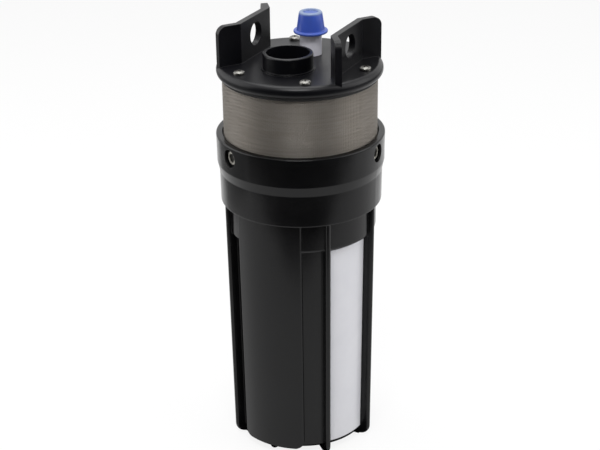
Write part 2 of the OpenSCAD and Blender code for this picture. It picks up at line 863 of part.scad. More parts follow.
module wobble_plate() {
    color("#d9d6cc") tilted() difference() {
        union() {
            bar(wobble_ring_r, cam_z, arm_z + arm_t);
            at_chambers(0) translate([-arm_w / 2, -chamber_pr, arm_z]) cube([arm_w, chamber_pr, arm_t]);
            at_chambers(chamber_pr) bar(piston_d / 2, arm_z, pad_top);
        }
        bar(cam_bearing_or + seat_gap, cam_z - cut, cam_z + cam_bearing_w);
        bar(cam_bearing_or - 2, cam_z, arm_z);
        at_chambers(chamber_pr) bar(piston_screw_r + seat_gap, arm_z + arm_t / 2, pad_top + cut);
    }
}

module pistons() {
    color("#e4e1d8") tilted() at_chambers(chamber_pr) difference() {
        union() {
            bar(neck_r, pad_top, disc_z + eps);
            bar(piston_d / 2, disc_z, disc_z + disc_t);
        }
        bar(piston_screw_r + fit_gap, pad_top - cut, disc_z + disc_t);
        bar(piston_screw_head_r + fit_gap, disc_z + disc_t - piston_screw_head_h, disc_z + disc_t + cut);
    }
}

module piston_screws() {
    z = disc_z + disc_t - piston_screw_head_h;
    color("#c9c7c0") tilted() at_chambers(chamber_pr) {
        bar(piston_screw_r, arm_z + arm_t / 2 + fit_gap, z + eps);
        bar(piston_screw_head_r, z, z + piston_screw_head_h - fit_gap);
    }
}

module diaphragm() {
    ring_r = (piston_d / 2 + chamber_d / 2) / 2;
    color("#202022") difference() {
        union() {
            bar(head_r, deck_z, diaphragm_top);
            at_chambers(chamber_pr) translate([0, 0, diaphragm_top]) rotate_extrude()
                translate([ring_r, 0]) circle(r = roll_r, $fn = 24);
        }
        at_chambers(chamber_pr) bar(diaphragm_hole_r, deck_z - cut, diaphragm_top + cut);
        at_head_screws() bar(head_screw_r + fit_gap, deck_z - cut, diaphragm_top + cut);
        at_leads() bar(lead_hole_r, deck_z - cut, diaphragm_top + cut);
    }
}

// Stem hole and the ring of ports round it
module valve_ports() {
    bar(valve_stem_r + seat_gap, chamber_roof - cut, valve_top + cut);
    for (a = ring_angles(valve_ports, 0)) translate(polar(valve_port_pr, a))
        bar(valve_port_r, chamber_roof - cut, valve_top + cut);
}

module valve_plate() {
    color("#3f4145") difference() {
        bar(head_r, diaphragm_top, valve_top);
        at_chambers(chamber_pr) bar(chamber_d / 2, diaphragm_top - cut, chamber_roof);
        at_chambers(inlet_pr) valve_ports();
        at_chambers(outlet_pr) valve_ports();
        at_head_screws() bar(head_screw_r + fit_gap, diaphragm_top - cut, valve_top + cut);
        at_leads() bar(lead_hole_r, diaphragm_top - cut, valve_top + cut);
    }
}

module inlet_valves() {
    color("#26262a") at_chambers(inlet_pr) {
        bar(valve_disc_r, chamber_roof - valve_disc_t, chamber_roof);
        bar(valve_stem_r, chamber_roof - eps, valve_top + valve_stem_len);
    }
}

module outlet_valves() {
    color("#26262a") at_chambers(outlet_pr) {
        bar(valve_disc_r, valve_top, valve_top + valve_disc_t);
        bar(valve_stem_r, chamber_roof - valve_stem_len / 2, valve_top + eps);
    }
}

module upper_housing() {
    dome = 3;
    color("#35373a") difference() {
        union() {
            bar(head_r, valve_top, flange_top);
            bar(body_r, flange_top - eps, body_top - dome);
            translate([0, 0, body_top - dome])
                cylinder(r1 = body_r, r2 = body_r - dome, h = dome, $fn = around_fn);
            translate([0, -outlet_y, 0]) bar(tower_r, flange_top, tower_top);
            translate([0, socket_y, 0]) bar(socket_boss_r, flange_top, socket_boss_top);
            at_plate_screws() bar(boss_r, valve_top, plate_z);
        }
        bar(plenum_r, valve_top - cut, valve_top + plenum_h);
        tube(inlet_ring_r[1], inlet_ring_r[0], valve_top - cut, valve_top + plenum_h);
        at_head_screws() bar(head_screw_r + fit_gap, valve_top - cut, flange_top + cut);
        at_plate_screws() bar(plate_screw_r + seat_gap, plate_top - plate_screw_len - cut, plate_z + cut);
        around(ring_angles(inlet_slots, 180 / inlet_slots))
            translate([-inlet_slot_w / 2, -head_r - cut, valve_top - cut])
            cube([inlet_slot_w, head_r - inlet_ring_r[1] + 2 * cut, plenum_h + cut]);
        translate([0, -outlet_y, 0]) {
            bar(passage_r, valve_top, port_z + cut);
            bar(washer_r + fit_gap, port_z - washer_t, port_z + cut);
            bar(port_r, port_z, tower_top + cut);
        }
        translate([0, socket_y, 0]) bar(tunnel_end_r, tunnel_z - tunnel_end_r, socket_boss_top + cut);
        lead_tunnel();
        translate([bypass_x, 0, 0]) {
            bar(bypass_seat_r, valve_top, bypass_z + cut);
            bar(bypass_r, bypass_z, body_top + cut);
        }
    }
}

// Passage for the leads, from under the socket out to their drop
module lead_tunnel() {
    v = lead_xy - [0, socket_y];
    translate([0, socket_y, tunnel_z]) rotate([0, 90, atan2(v.y, v.x)]) cylinder(r = tunnel_r, h = norm(v));
    at_leads() {
        bar(lead_hole_r, valve_top - cut, tunnel_z);
        translate([0, 0, tunnel_z]) sphere(r = tunnel_end_r);
    }
}

module housing_screws() {
    color("#c9c7c0") at_head_screws() {
        bar(head_screw_r, head_screw_z, flange_top + eps);
        bar(head_screw_head_r, flange_top, flange_top + head_screw_head_h);
    }
}

module outlet_washer() {
    color("#1b1b1b") translate([0, -outlet_y, 0])
        tube(washer_r, passage_r + fit_gap, port_z - washer_t, port_z);
}

module bypass_poppet() {
    color("#d9d6cc") translate([bypass_x, 0, 0]) {
        bar(bypass_r - free_gap, bypass_z + run_gap, bypass_z + bypass_disc_t);
        bar(bypass_stem_r, bypass_z + bypass_disc_t - eps, plug_z - bypass_lift - free_gap);
    }
}

module bypass_spring() {
    z = bypass_z + bypass_disc_t + seat_gap;
    color("#b5b5b0") translate([bypass_x, 0, z])
        coil(bypass_spring_r, spring_wire_r, plug_z - z - seat_gap, spring_turns);
}

module bypass_plug() {
    slot = 1.2;
    color("#a98a4b") translate([bypass_x, 0, 0]) difference() {
        bar(bypass_r - seat_gap, plug_z, body_top);
        translate([-bypass_r, -slot / 2, body_top - slot]) cube([2 * bypass_r, slot, slot + cut]);
    }
}

module screen_seal_lower() {
    color("#1b1b1b") tube(collar_bore_r - free_gap, head_r + free_gap, deck_z, deck_z + seal_t);
}

module filter_screen() {
    color("#77726a") tube(screen_r, screen_r - screen_t, deck_z + seal_t, plate_z - top_seal_t);
}

module screen_seal_upper() {
    inner_r = plate_screw_pr + boss_r + fit_gap;
    color("#1b1b1b") tube(screen_r + free_gap, inner_r, plate_z - top_seal_t, plate_z);
}

// Plan of one ear: flat web and two wings that lean out to the rim
module ear_plan() {
    wing = wing_len * wing_dir;
    outer_fold = [ear_x + ear_t, ear_half - ear_t * tan(wing_angle / 2)];
    half = [ear_fold, ear_fold + wing, ear_fold + wing + wing_side, outer_fold];
    polygon(concat(half, [for (i = [3:-1:0]) [half[i].x, -half[i].y]]));
}

module wing_corner_cut() {
    r = wing_corner_r;
    far = 2 * r;
    translate([ear_x, ear_half, plate_top + ear_h - r]) rotate([0, 0, 90 - wing_angle])
        translate([wing_len - r, 0, 0]) difference() {
            translate([0, -ear_t - cut, 0]) cube([far, ear_t + 2 * cut, far]);
            rotate([90, 0, 0]) bar(r + bead, -2 * cut, ear_t + 2 * cut);
        }
}

module ear() {
    difference() {
        translate([0, 0, plate_top - rim_r]) linear_extrude(ear_h + rim_r) ear_plan();
        wing_corner_cut();
        mirror([0, 1, 0]) wing_corner_cut();
        translate([0, 0, plate_top + rope_hole_z]) rotate([0, 90, 0])
            bar(rope_hole_d / 2, ear_x - cut, ear_x + ear_t + cut);
    }
}

module lift_plate() {
    e = rim_r;
    foot_ring = 0.8;
    color("#2b2b2d") difference() {
        union() {
            rotate_extrude($fn = around_fn) polygon(concat(
                [[0, plate_z]],
                arc([plate_r - e, plate_z + e], e, -90, 0, 8),
                arc([plate_r - e, plate_top - e], e, 0, 90, 8),
                [[0, plate_top]]));
            ear();
            rotate([0, 0, 180]) ear();
            translate([0, -outlet_y, plate_top]) rotate_extrude() polygon(concat(
                [[outlet_id / 2 - cut, -edge_r], [outlet_od / 2 + foot_ring, -edge_r],
                [outlet_od / 2 + foot_ring, foot_ring], [outlet_od / 2, foot_ring]],
                arc([outlet_od / 2 - edge_r, outlet_rise - edge_r], edge_r, 0, 90),
                [[outlet_id / 2 - cut, outlet_rise]]));
        }
        translate([0, -outlet_y, 0]) bar(outlet_id / 2, plate_z - cut, plate_top + outlet_rise + cut);
        translate([0, socket_y, 0]) bar(stem_d / 2 + fit_gap, plate_z - cut, plate_top + cut);
        at_plate_screws() bar(plate_screw_r + fit_gap, plate_z - cut, plate_top + cut);
    }
}

module lift_plate_screws() {
    dome = 0.9;
    color("#d8d5cb") at_plate_screws() {
        bar(plate_screw_r, plate_top - plate_screw_len, plate_top + eps);
        bar(plate_head_d / 2, plate_top, plate_top + plate_head_h - dome);
        translate([0, 0, plate_top + plate_head_h - dome])
            cylinder(d1 = plate_head_d, d2 = plate_head_d - 2 * dome, h = dome);
    }
}

module connector_socket() {
    color("#e3e1ea") translate([0, socket_y, 0]) difference() {
        union() {
            bar(socket_flange_r, socket_boss_top, socket_flange_top);
            bar(stem_d / 2, socket_flange_top - eps, stem_top);
            bar(spigot_d / 2, stem_top - eps, spigot_top);
        }
        bar(socket_bore_r, socket_bore_z, spigot_top + cut);
        for (x = [-pin_x, pin_x]) translate([x, 0, 0])
            bar(pin_r + seat_gap, socket_boss_top - cut, socket_bore_z + cut);
    }
}

module socket_seal() {
    color("#1b1b1b") translate([0, socket_y, 0])
        tube(socket_flange_r, stem_d / 2 + fit_gap, socket_flange_top, plate_z);
}

module contact_pins() {
    color("#c8a04a") for (x = [-pin_x, pin_x]) translate([x, socket_y, 0]) bar(pin_r, pin_z, pin_top);
}

module protective_cap() {
    e = 0.5;
    crown = 1.1;
    base_r = cap_base_d / 2;
    top_r = cap_top_d / 2;
    flange_r = cap_flange_d / 2;
    bore_r = spigot_d / 2 + cap_gap;
    shoulder_z = cap_z + cap_flange_t;
    color("#3852aa") translate([0, socket_y, 0]) rotate_extrude() polygon(concat(
        [[bore_r, cap_z]],
        arc([flange_r - e, cap_z + e], e, -90, 0),
        arc([flange_r - e, shoulder_z - e], e, 0, 90),
        [[base_r, shoulder_z]],
        arc([top_r - crown, cap_top - crown], crown, 0, 90),
        [[cap_dish_r, cap_top], [cap_dish_r - e, cap_top - cap_dish_h], [0, cap_top - cap_dish_h],
        [0, cap_bore_top], [bore_r, cap_bore_top]]));
}

canister();
blank_label();
canister_screws();
canister_seal_ring();
lower_housing();
diaphragm_support();
motor_can();
motor_magnets();
rear_end_bell();
front_end_bell();
motor_bolts();
rear_bearing();
front_bearing();
brush_holders();
carbon_brushes();
brush_springs();
motor_leads();
motor_shaft();
armature_core();
armature_windings();
commutator();
cam_hub();
cam_bearing();
wobble_plate();
pistons();
piston_screws();
diaphragm();
valve_plate();
inlet_valves();
outlet_valves();
upper_housing();
housing_screws();
outlet_washer();
bypass_poppet();
bypass_spring();
bypass_plug();
screen_seal_lower();
filter_screen();
screen_seal_upper();
lift_plate();
lift_plate_screws();
connector_socket();
socket_seal();
contact_pins();
protective_cap();
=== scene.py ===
"""Looks of a submersible diaphragm pump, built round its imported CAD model.

The pump stands on its feet at the origin, in metres, with +Z up and the outlet towards -Y.
Sizes in the classes below are in millimetres, because the real pieces are measured in them.
"""

import json
import logging
import math
from dataclasses import dataclass, field
from enum import Enum
from typing import ClassVar

import bpy
from bpy.types import ID, Material, Mesh, Node, NodeOutputs, NodeSocket, NodeTree, Object
from mathutils import Matrix, Vector


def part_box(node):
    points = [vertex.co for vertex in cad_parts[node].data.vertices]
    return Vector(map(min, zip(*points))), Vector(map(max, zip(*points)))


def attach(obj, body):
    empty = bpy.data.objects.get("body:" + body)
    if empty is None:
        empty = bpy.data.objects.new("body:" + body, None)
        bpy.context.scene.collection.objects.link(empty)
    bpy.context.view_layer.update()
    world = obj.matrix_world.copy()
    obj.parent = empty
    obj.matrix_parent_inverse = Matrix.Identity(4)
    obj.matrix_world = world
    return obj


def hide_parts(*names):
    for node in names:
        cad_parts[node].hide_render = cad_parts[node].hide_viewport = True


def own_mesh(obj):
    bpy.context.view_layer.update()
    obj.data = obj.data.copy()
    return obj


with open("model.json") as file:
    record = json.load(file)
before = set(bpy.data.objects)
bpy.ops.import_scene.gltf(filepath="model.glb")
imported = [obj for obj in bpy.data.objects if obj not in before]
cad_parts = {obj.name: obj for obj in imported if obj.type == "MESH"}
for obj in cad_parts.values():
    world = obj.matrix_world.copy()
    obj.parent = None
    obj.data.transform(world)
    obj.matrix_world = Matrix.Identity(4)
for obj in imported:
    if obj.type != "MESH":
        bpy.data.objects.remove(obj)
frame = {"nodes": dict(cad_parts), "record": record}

LOG = logging.getLogger("pump_scene")
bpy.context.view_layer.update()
MM = 0.001
BODY = "pump_body"
ROTOR_BODY = "rotor"
CAP_BODY = "cap"
Point = tuple[float, float, float]
Outline = list[tuple[float, float]]


def hex_linear(code: str) -> tuple[float, float, float, float]:
    """Turns an sRGB colour to the linear colour that a shader socket takes.

    Args:
        code: The colour as six hex digits.

    Returns:
        Red, green, blue and an alpha of one.
    """
    parts = [int(code[i:i + 2], 16) / 255 for i in (0, 2, 4)]
    # The sRGB curve: straight near black, then a power
    linear = [c / 12.92 if c <= 0.04045 else ((c + 0.055) / 1.055) ** 2.4 for c in parts]
    return (*linear, 1.0)


def add_node(tree: NodeTree, kind: str, inputs: dict | None = None, **settings: object) -> Node:
    """Adds one node to a shader or geometry tree.

    Args:
        tree: The tree that the node goes into.
        kind: The node's type name.
        inputs: Socket name or number, with a value to set, a socket to link from, or a node whose
            first output is linked.
        settings: Properties of the node itself.

    Returns:
        The new node.
    """
    node = tree.nodes.new(kind)
    for name, value in settings.items():
        setattr(node, name, value)
    for key, value in (inputs or {}).items():
        if isinstance(value, Node):
            value = value.outputs[0]
        if isinstance(value, NodeSocket):
            tree.links.new(value, node.inputs[key])
        else:
            node.inputs[key].default_value = value
    return node


def empty_material(name: str) -> Material:
    """Makes a material with no nodes in it yet.

    Args:
        name: Name of the material.

    Returns:
        The material.
    """
    material = bpy.data.materials.new(name)
    material.use_nodes = True
    material.node_tree.nodes.clear()
    return material


class Pattern(Enum):
    """The kinds of surface grain that the finishes use."""

    MOULDED = "moulded"
    DRAWN = "drawn"
    GROUND = "ground"
    CAST = "cast"


# How far each grain is drawn out along X, Y and Z: a small share makes long streaks
GRAIN_STRETCH: dict[Pattern, Point] = {
    Pattern.MOULDED: (1, 1, 1),
    Pattern.DRAWN: (1, 1, 0.05),
    Pattern.GROUND: (0.05, 0.05, 1),
    Pattern.CAST: (1, 1, 1),
}


@dataclass(frozen=True)
class Finish:
    """One real material with its surface, as a procedural shader.

    The colour drifts a little over a few centimetres, as handled parts do, and the grain gives the
    highlights their spread. Sizes are in millimetres.
    """

    name: str
    colour: str
    shade: str
    roughness: float
    metallic: float = 0.0
    ior: float = 1.5
    pattern: Pattern = Pattern.MOULDED
    grain: float = 0.6
    grain_depth: float = 0.02
    drift: float = 25.0
    spread: float = 0.08
    subsurface: float = 0.0
    scatter: float = 2.0
    specular: float = 0.5
    bevel: float = 0.0
    second: str = "ffffff"

    # Most of the slow noise lies in these spans
    ROUGH_SPAN: ClassVar[tuple[float, float]] = (0.3, 0.7)
    COLOUR_SPAN: ClassVar[tuple[float, float]] = (0.35, 0.65)
    LEAST_ROUGHNESS: ClassVar[float] = 0.02

    def build(self) -> Material:
        """Makes the material, or finds it if it was made before.

        Returns:
            The material.
        """
        found = bpy.data.materials.get(self.name)
        if found:
            return found
        material = empty_material(self.name)
        tree = material.node_tree
        coords = add_node(tree, "ShaderNodeTexCoord").outputs["Object"]
        drift = add_node(tree, "ShaderNodeTexNoise", {
            "Vector": coords, "Scale": 1 / (self.drift * MM), "Detail": 4.0, "Roughness": 0.6})
        rough = add_node(tree, "ShaderNodeMapRange", {
            "Value": drift, "From Min": self.ROUGH_SPAN[0], "From Max": self.ROUGH_SPAN[1],
            "To Min": max(self.LEAST_ROUGHNESS, self.roughness - self.spread),
            "To Max": self.roughness + self.spread})
        shader = add_node(tree, "ShaderNodeBsdfPrincipled", {
            "Base Color": self.colour_socket(tree, coords, drift.outputs["Fac"]), "Roughness": rough,
            "Normal": self.normal_socket(tree, coords), "Metallic": self.metallic, "IOR": self.ior,
            "Subsurface Weight": self.subsurface, "Subsurface Radius": (1.0, 1.0, 1.0),
            "Subsurface Scale": self.scatter * MM, "Specular IOR Level": self.specular})
        add_node(tree, "ShaderNodeOutputMaterial", {"Surface": shader})
        return material

    def colour_socket(self, tree: NodeTree, coords: NodeSocket, drift: NodeSocket) -> NodeSocket:
        """Mixes the main colour with its shade, and with the second colour where there is one.

        Args:
            tree: The material's tree.
            coords: Object coordinates in metres.
            drift: Slow noise from 0 to 1.

        Returns:
            The socket that gives the colour.
        """
        ramp = add_node(tree, "ShaderNodeValToRGB", {"Fac": drift})
        ends = zip(ramp.color_ramp.elements, self.COLOUR_SPAN, (self.shade, self.colour))
        for element, place, code in ends:
            element.position = place
            element.color = hex_linear(code)
        share = self.second_share(tree, coords)
        if share is None:
            return ramp.outputs["Color"]
        mix = add_node(tree, "ShaderNodeMix", {"Factor": share, 6: ramp, 7: hex_linear(self.second)},
                       data_type="RGBA")
        return mix.outputs[2]

    def second_share(self, tree: NodeTree, coords: NodeSocket) -> Node | None:
        """Gives the share of the second colour, which a plain finish doesn't have."""
        return None

    def normal_socket(self, tree: NodeTree, coords: NodeSocket) -> NodeSocket:
        """Gives the surface its grain.

        Args:
            tree: The material's tree.
            coords: Object coordinates in metres.

        Returns:
            The socket that gives the bent normal.
        """
        turned = add_node(tree, "ShaderNodeMapping", {"Vector": coords, "Scale": GRAIN_STRETCH[self.pattern]})
        grain = add_node(tree, "ShaderNodeTexNoise", {
            "Vector": turned, "Scale": 1 / (self.grain * MM), "Detail": 2.0,
            "Roughness": 0.7 if self.pattern is Pattern.CAST else 0.5})
        bump = add_node(tree, "ShaderNodeBump", {
            "Height": grain, "Strength": 0.5, "Distance": self.grain_depth * MM})
        if self.bevel:
            edge = add_node(tree, "ShaderNodeBevel", {"Radius": self.bevel * MM}, samples=4)
            tree.links.new(edge.outputs["Normal"], bump.inputs["Normal"])
        return bump.outputs["Normal"]


@dataclass(frozen=True)
class ThinMoulding(Finish):
    """A translucent moulding that is paler where its wall is thin, between two heights."""

    pale_below: float = 0.0
    pale_above: float = 1000.0
    share_below: float = 0.1
    share_above: float = 0.8
    blend_below: float = 0.4
    blend_above: float = 0.6

    def second_share(self, tree: NodeTree, coords: NodeSocket) -> Node:
        """Gives the share of the pale colour by height.

        Args:
            tree: The material's tree.
            coords: Object coordinates in metres.

        Returns:
            The node that gives the share.
        """
        height = add_node(tree, "ShaderNodeSeparateXYZ", {"Vector": coords}).outputs["Z"]
        low = add_node(tree, "ShaderNodeMapRange", {
            "Value": height, "From Min": (self.pale_below - self.blend_below) * MM,
            "From Max": (self.pale_below + self.blend_below) * MM, "To Min": self.share_below, "To Max": 0.0})
        high = add_node(tree, "ShaderNodeMapRange", {
            "Value": height, "From Min": (self.pale_above - self.blend_above) * MM,
            "From Max": (self.pale_above + self.blend_above) * MM, "To Min": 0.0, "To Max": self.share_above})
        return add_node(tree, "ShaderNodeMath", {0: low, 1: high}, operation="ADD")


@dataclass(frozen=True)
class WireCloth(Finish):
    """Woven wire whose rows differ a little in shade, as drawn wire from several reels does."""

    row: float = 1.1
    row_contrast: float = 0.15
    row_stretch: Point = (0.03, 0.03, 1.0)
    second: str = "3a3733"

    def second_share(self, tree: NodeTree, coords: NodeSocket) -> Node:
        """Gives the share of the darker shade, row by row.

        Args:
            tree: The material's tree.
            coords: Object coordinates in metres.

        Returns:
            The node that gives the share.
        """
        flat = add_node(tree, "ShaderNodeMapping", {"Vector": coords, "Scale": self.row_stretch})
        rows = add_node(tree, "ShaderNodeTexNoise", {
            "Vector": flat, "Scale": 1 / (self.row * MM), "Detail": 2.0})
        return add_node(tree, "ShaderNodeMapRange", {
            "Value": rows, "From Min": self.COLOUR_SPAN[0], "From Max": self.COLOUR_SPAN[1],
            "To Min": self.row_contrast, "To Max": 0.0})


@dataclass(frozen=True)
class SocketSteel(Finish):
    """Steel of a screw that points away from the axis, with painted shade darkening its recess below a given
    radius.
    """

    # Near-black colour of the painted shade at the bottom of the hexagon recess
    second: str = "141312"
    recess_shade_share: float = 0.95
    recess_from: float = 45.35
    recess_to: float = 45.75

    def second_share(self, tree: NodeTree, coords: NodeSocket) -> Node:
        """Gives the share of the painted recess shade by the distance from the pump's axis.

        Args:
            tree: The material's tree.
            coords: Object coordinates in metres.

        Returns:
            The node that gives the share.
        """
        flat = add_node(tree, "ShaderNodeVectorMath", {0: coords, 1: (1.0, 1.0, 0.0)},
                        operation="MULTIPLY")
        away = add_node(tree, "ShaderNodeVectorMath", {0: flat}, operation="LENGTH")
        # Painted shade: the colour darkens towards the bottom of the recess, nearer the axis
        return add_node(tree, "ShaderNodeMapRange", {
            "Value": away.outputs["Value"], "From Min": self.recess_from * MM,
            "From Max": self.recess_to * MM, "To Min": self.recess_shade_share, "To Max": 0.0})


# Injection moulded ABS: satin gloss with a very fine spark-eroded grain, drawn coarser so that it shows
BLACK_ABS = Finish("moulded_black_abs", "0b0b0c", "080809", 0.2, grain=0.7, grain_depth=0.012,
                   spread=0.04, specular=0.27, bevel=0.5)
# The lift plate is the same ABS from a finer textured tool, a little bluer and softer in its gloss
PLATE_ABS = Finish("satin_black_abs", "0a0a0e", "08080b", 0.34, grain=0.9, grain_depth=0.012,
                   spread=0.05, specular=0.25, bevel=0.5)
# Woven stainless wire: warm grey, each drawn wire of a slightly different shade
SCREEN_WIRE = WireCloth("woven_stainless_wire", "9d9790", "948e86", 0.42, 0.8, pattern=Pattern.GROUND,
                        grain=0.3, grain_depth=0.01, spread=0.03)
# Zinc plated steel screws: bright, with fine turning marks
BRIGHT_STEEL = Finish("plated_screw_steel", "878682", "72716d", 0.38, 1.0, pattern=Pattern.GROUND,
                      grain=0.2, grain_depth=0.006, drift=3)
# The collar screws are the same steel, with painted shade darkening the deep hexagon
COLLAR_STEEL = SocketSteel("plated_socket_steel", "bcb9b0", "a8a59d", 0.4, 0.6,
                           pattern=Pattern.GROUND, grain=0.2, grain_depth=0.006, drift=3)
# Natural nylon: milky, light goes some millimetres into it
NYLON = Finish("natural_nylon", "f1f0f8", "e6e4f0", 0.32, ior=1.53, grain=0.5, grain_depth=0.01,
               subsurface=0.45, scatter=4)
# Soft polyethylene cap: blue, paler where the wall is thin at the flange and the top rim
CAP_POLYETHYLENE = ThinMoulding("blue_polyethylene", "3554b4", "304aa2", 0.36, ior=1.51, grain=0.8,
                                grain_depth=0.012, subsurface=0.35, scatter=2.5, second="7b8ca0",
                                pale_below=245.4, pale_above=254.9)
# Plain vinyl film on the tube: pale grey with a soft sheen
LABEL_VINYL = Finish("blank_vinyl_film", "cacace", "c4c4c9", 0.35, ior=1.5, grain=1.5, grain_depth=0.01)
# Nitrile rubber: dull and dark
NITRILE = Finish("nitrile_rubber", "1d1d1e", "161617", 0.7, ior=1.52, grain=0.4, grain_depth=0.03)
# Glass filled nylon of the pump head: matt, with a flow pattern
FILLED_NYLON = Finish("glass_filled_nylon", "2c2d30", "232427", 0.5, grain=0.5, grain_depth=0.03, drift=8)

NODE_FINISHES: dict[str, Finish] = {
    "moulded_black": BLACK_ABS,
    "label_film": LABEL_VINYL,
    "stainless": BRIGHT_STEEL,
    "seal_rubber": NITRILE,
    "housing_plastic": FILLED_NYLON,
    "screen_mesh": SCREEN_WIRE,
    # Drawn tube under zinc: grey with a soft shine round the tube
    "motor_steel": Finish("zinc_plated_tube", "9a9da3", "86898f", 0.34, 0.9, pattern=Pattern.GROUND,
                          grain=0.4),
    # Ground bearing steel: near mirror with fine marks round the axis
    "bearing_steel": Finish("ground_steel", "c9cbcf", "b7babf", 0.16, 1.0, pattern=Pattern.GROUND,
                            grain=0.2, grain_depth=0.005),
    # Sintered magnets: dark and dull, with a granular skin
    "ferrite": Finish("sintered_ferrite", "3a3a3e", "2f2f33", 0.62, grain=0.5, pattern=Pattern.CAST),
    # Die cast aluminium: pale, with the mottled skin of the die
    "die_cast": Finish("die_cast_aluminium", "b4b6ba", "9fa1a6", 0.42, 1.0, pattern=Pattern.CAST,
                       grain=0.9),
    # Stacked iron sheets: grey, with a line at every sheet
    "core_iron": Finish("stacked_laminations", "74777b", "5d6064", 0.4, 0.9, pattern=Pattern.GROUND,
                        grain=0.5),
    # Enamelled copper: warm brown under a clear coat
    "copper": Finish("enamelled_copper", "b7672f", "94501f", 0.3, 0.9, pattern=Pattern.GROUND, grain=0.6),
    # Turned brass: yellow with tool marks round the axis
    "brass_parts": Finish("turned_brass", "c9a653", "b08f42", 0.24, 1.0, pattern=Pattern.GROUND,
                          grain=0.25),
    # Pressed carbon: dark grey and grainy
    "carbon": Finish("pressed_carbon", "303033", "262628", 0.55, grain=0.4, pattern=Pattern.CAST),
    # Drawn spring wire: bright, with streaks along the wire
    "spring_wire": Finish("spring_wire", "bdbdb8", "a9a9a4", 0.22, 1.0, pattern=Pattern.DRAWN, grain=0.2),
    # Soft insulation of the leads: red, with a dull sheen
    "lead_sleeve": Finish("soft_lead_sleeve", "b03028", "9a2922", 0.45, grain=0.6),
    # Natural acetal: off-white and waxy
    "acetal": Finish("natural_acetal", "dcd9d0", "cfccc2", 0.38, ior=1.48, subsurface=0.3, grain=0.6),
    "natural_nylon": NYLON,
    "cap_blue": CAP_POLYETHYLENE,
}


def rounded(corners: list[tuple[float, float, float]], steps: int = 5) -> Outline:
    """Rounds the corners of an outline.

    Args:
        corners: Radius, height and rounding of each corner, in order round the closed outline.
        steps: Points on each rounding, less one.

    Returns:
        The outline's points.
    """
    points: Outline = []
    for i, (r, z, radius) in enumerate(corners):
        here = Vector((r, z))
        back = (Vector(corners[i - 1][:2]) - here)
        ahead = (Vector(corners[(i + 1) % len(corners)][:2]) - here)
        if radius <= 0 or r == 0:
            points.append((r, z))
            continue
        half = back.angle(ahead) / 2
        reach = radius / math.tan(half)
        centre = here + (back.normalized() + ahead.normalized()).normalized() * radius / math.sin(half)
        start = here + back.normalized() * reach - centre
        turn = start.angle_signed(here + ahead.normalized() * reach - centre)
        for k in range(steps + 1):
            arm = start.copy()
            arm.rotate(Matrix.Rotation(-turn * k / steps, 2))
            points.append((centre.x + arm.x, centre.y + arm.y))
    return points


def lathe(name: str, outline: Outline, segments: int = 96) -> Mesh:
    """Turns a closed outline round the Z axis.

    Args:
        name: Name of the mesh.
        outline: Radius and height of each point, in millimetres.
        segments: Steps round the axis.

    Returns:
        A closed mesh in metres, smooth except at sharp edges.
    """
    verts: list[Point] = []
    rows: list[list[int]] = []
    for r, z in outline:
        count = segments if r > 0 else 1
        rows.append([len(verts) + k for k in range(count)])
        for k in range(count):
            a = 2 * math.pi * k / segments
            verts.append((r * MM * math.cos(a), r * MM * math.sin(a), z * MM))
    faces: list[tuple[int, ...]] = []
    for low, high in zip(rows, rows[1:] + rows[:1]):
        for k in range(segments):
            a, b = low[k % len(low)], low[(k + 1) % len(low)]
            c, d = high[(k + 1) % len(high)], high[k % len(high)]
            ring = tuple(dict.fromkeys((a, b, c, d)))
            if len(ring) > 2:
                faces.append(ring)
    mesh = bpy.data.meshes.new(name)
    mesh.from_pydata(verts, [], faces)
    return smooth(mesh)


def smooth(mesh: Mesh, angle: float = 32.0) -> Mesh:
    """Shades a mesh smooth.

    Args:
        mesh: The mesh, which is changed.
        angle: Edges over this angle, in degrees, are kept sharp.

    Returns:
        The same mesh.
    """
    mesh.polygons.foreach_set("use_smooth", [True] * len(mesh.polygons))
    mesh.set_sharp_from_angle(angle=math.radians(angle))
    mesh.update()
    return mesh


def outward(mesh: Mesh) -> Mesh:
    """Turns a closed mesh's faces outwards where its volume comes out negative.

    Args:
        mesh: The mesh, which is changed.

    Returns:
        The same mesh.
    """
    volume = 0.0
    mesh.calc_loop_triangles()
    for tri in mesh.loop_triangles:
        a, b, c = (mesh.vertices[i].co for i in tri.vertices)
        volume += a.dot(b.cross(c))
    if volume < 0:
        mesh.flip_normals()
    return mesh


def add_piece(name: str, mesh: Mesh, finish: Finish, body: str, slot: str, *nodes: str) -> Object:
    """Puts a finished mesh into the scene as a piece of the pump.

    Args:
        name: Name of the piece.
        mesh: Its mesh, already in place.
        finish: Its material.
        body: The body that it rides on.
        slot: The record's material slot; not used.
        nodes: The CAD nodes that it stands for.

    Returns:
        The piece's object.
    """
    piece = placed(name, mesh)
    mesh.materials.clear()
    mesh.materials.append(finish.build())
    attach(piece, body)
    if nodes:
        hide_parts(*nodes)
    LOG.info("%s: %d faces", name, len(mesh.polygons))
    return piece


def settled(item: Object) -> Mesh:
    """Gives a plain mesh of what an object looks like with its modifiers."""
    bpy.context.view_layer.update()
    return bpy.data.meshes.new_from_object(item.evaluated_get(bpy.context.evaluated_depsgraph_get()))


def placed(name: str, data: ID) -> Object:
    """Links a new object into the scene.

    Args:
        name: Name of the object.
        data: Its mesh, curve, lamp or camera.

    Returns:
        The object.
    """
    item = bpy.data.objects.new(name, data)
    bpy.context.scene.collection.objects.link(item)
    return item


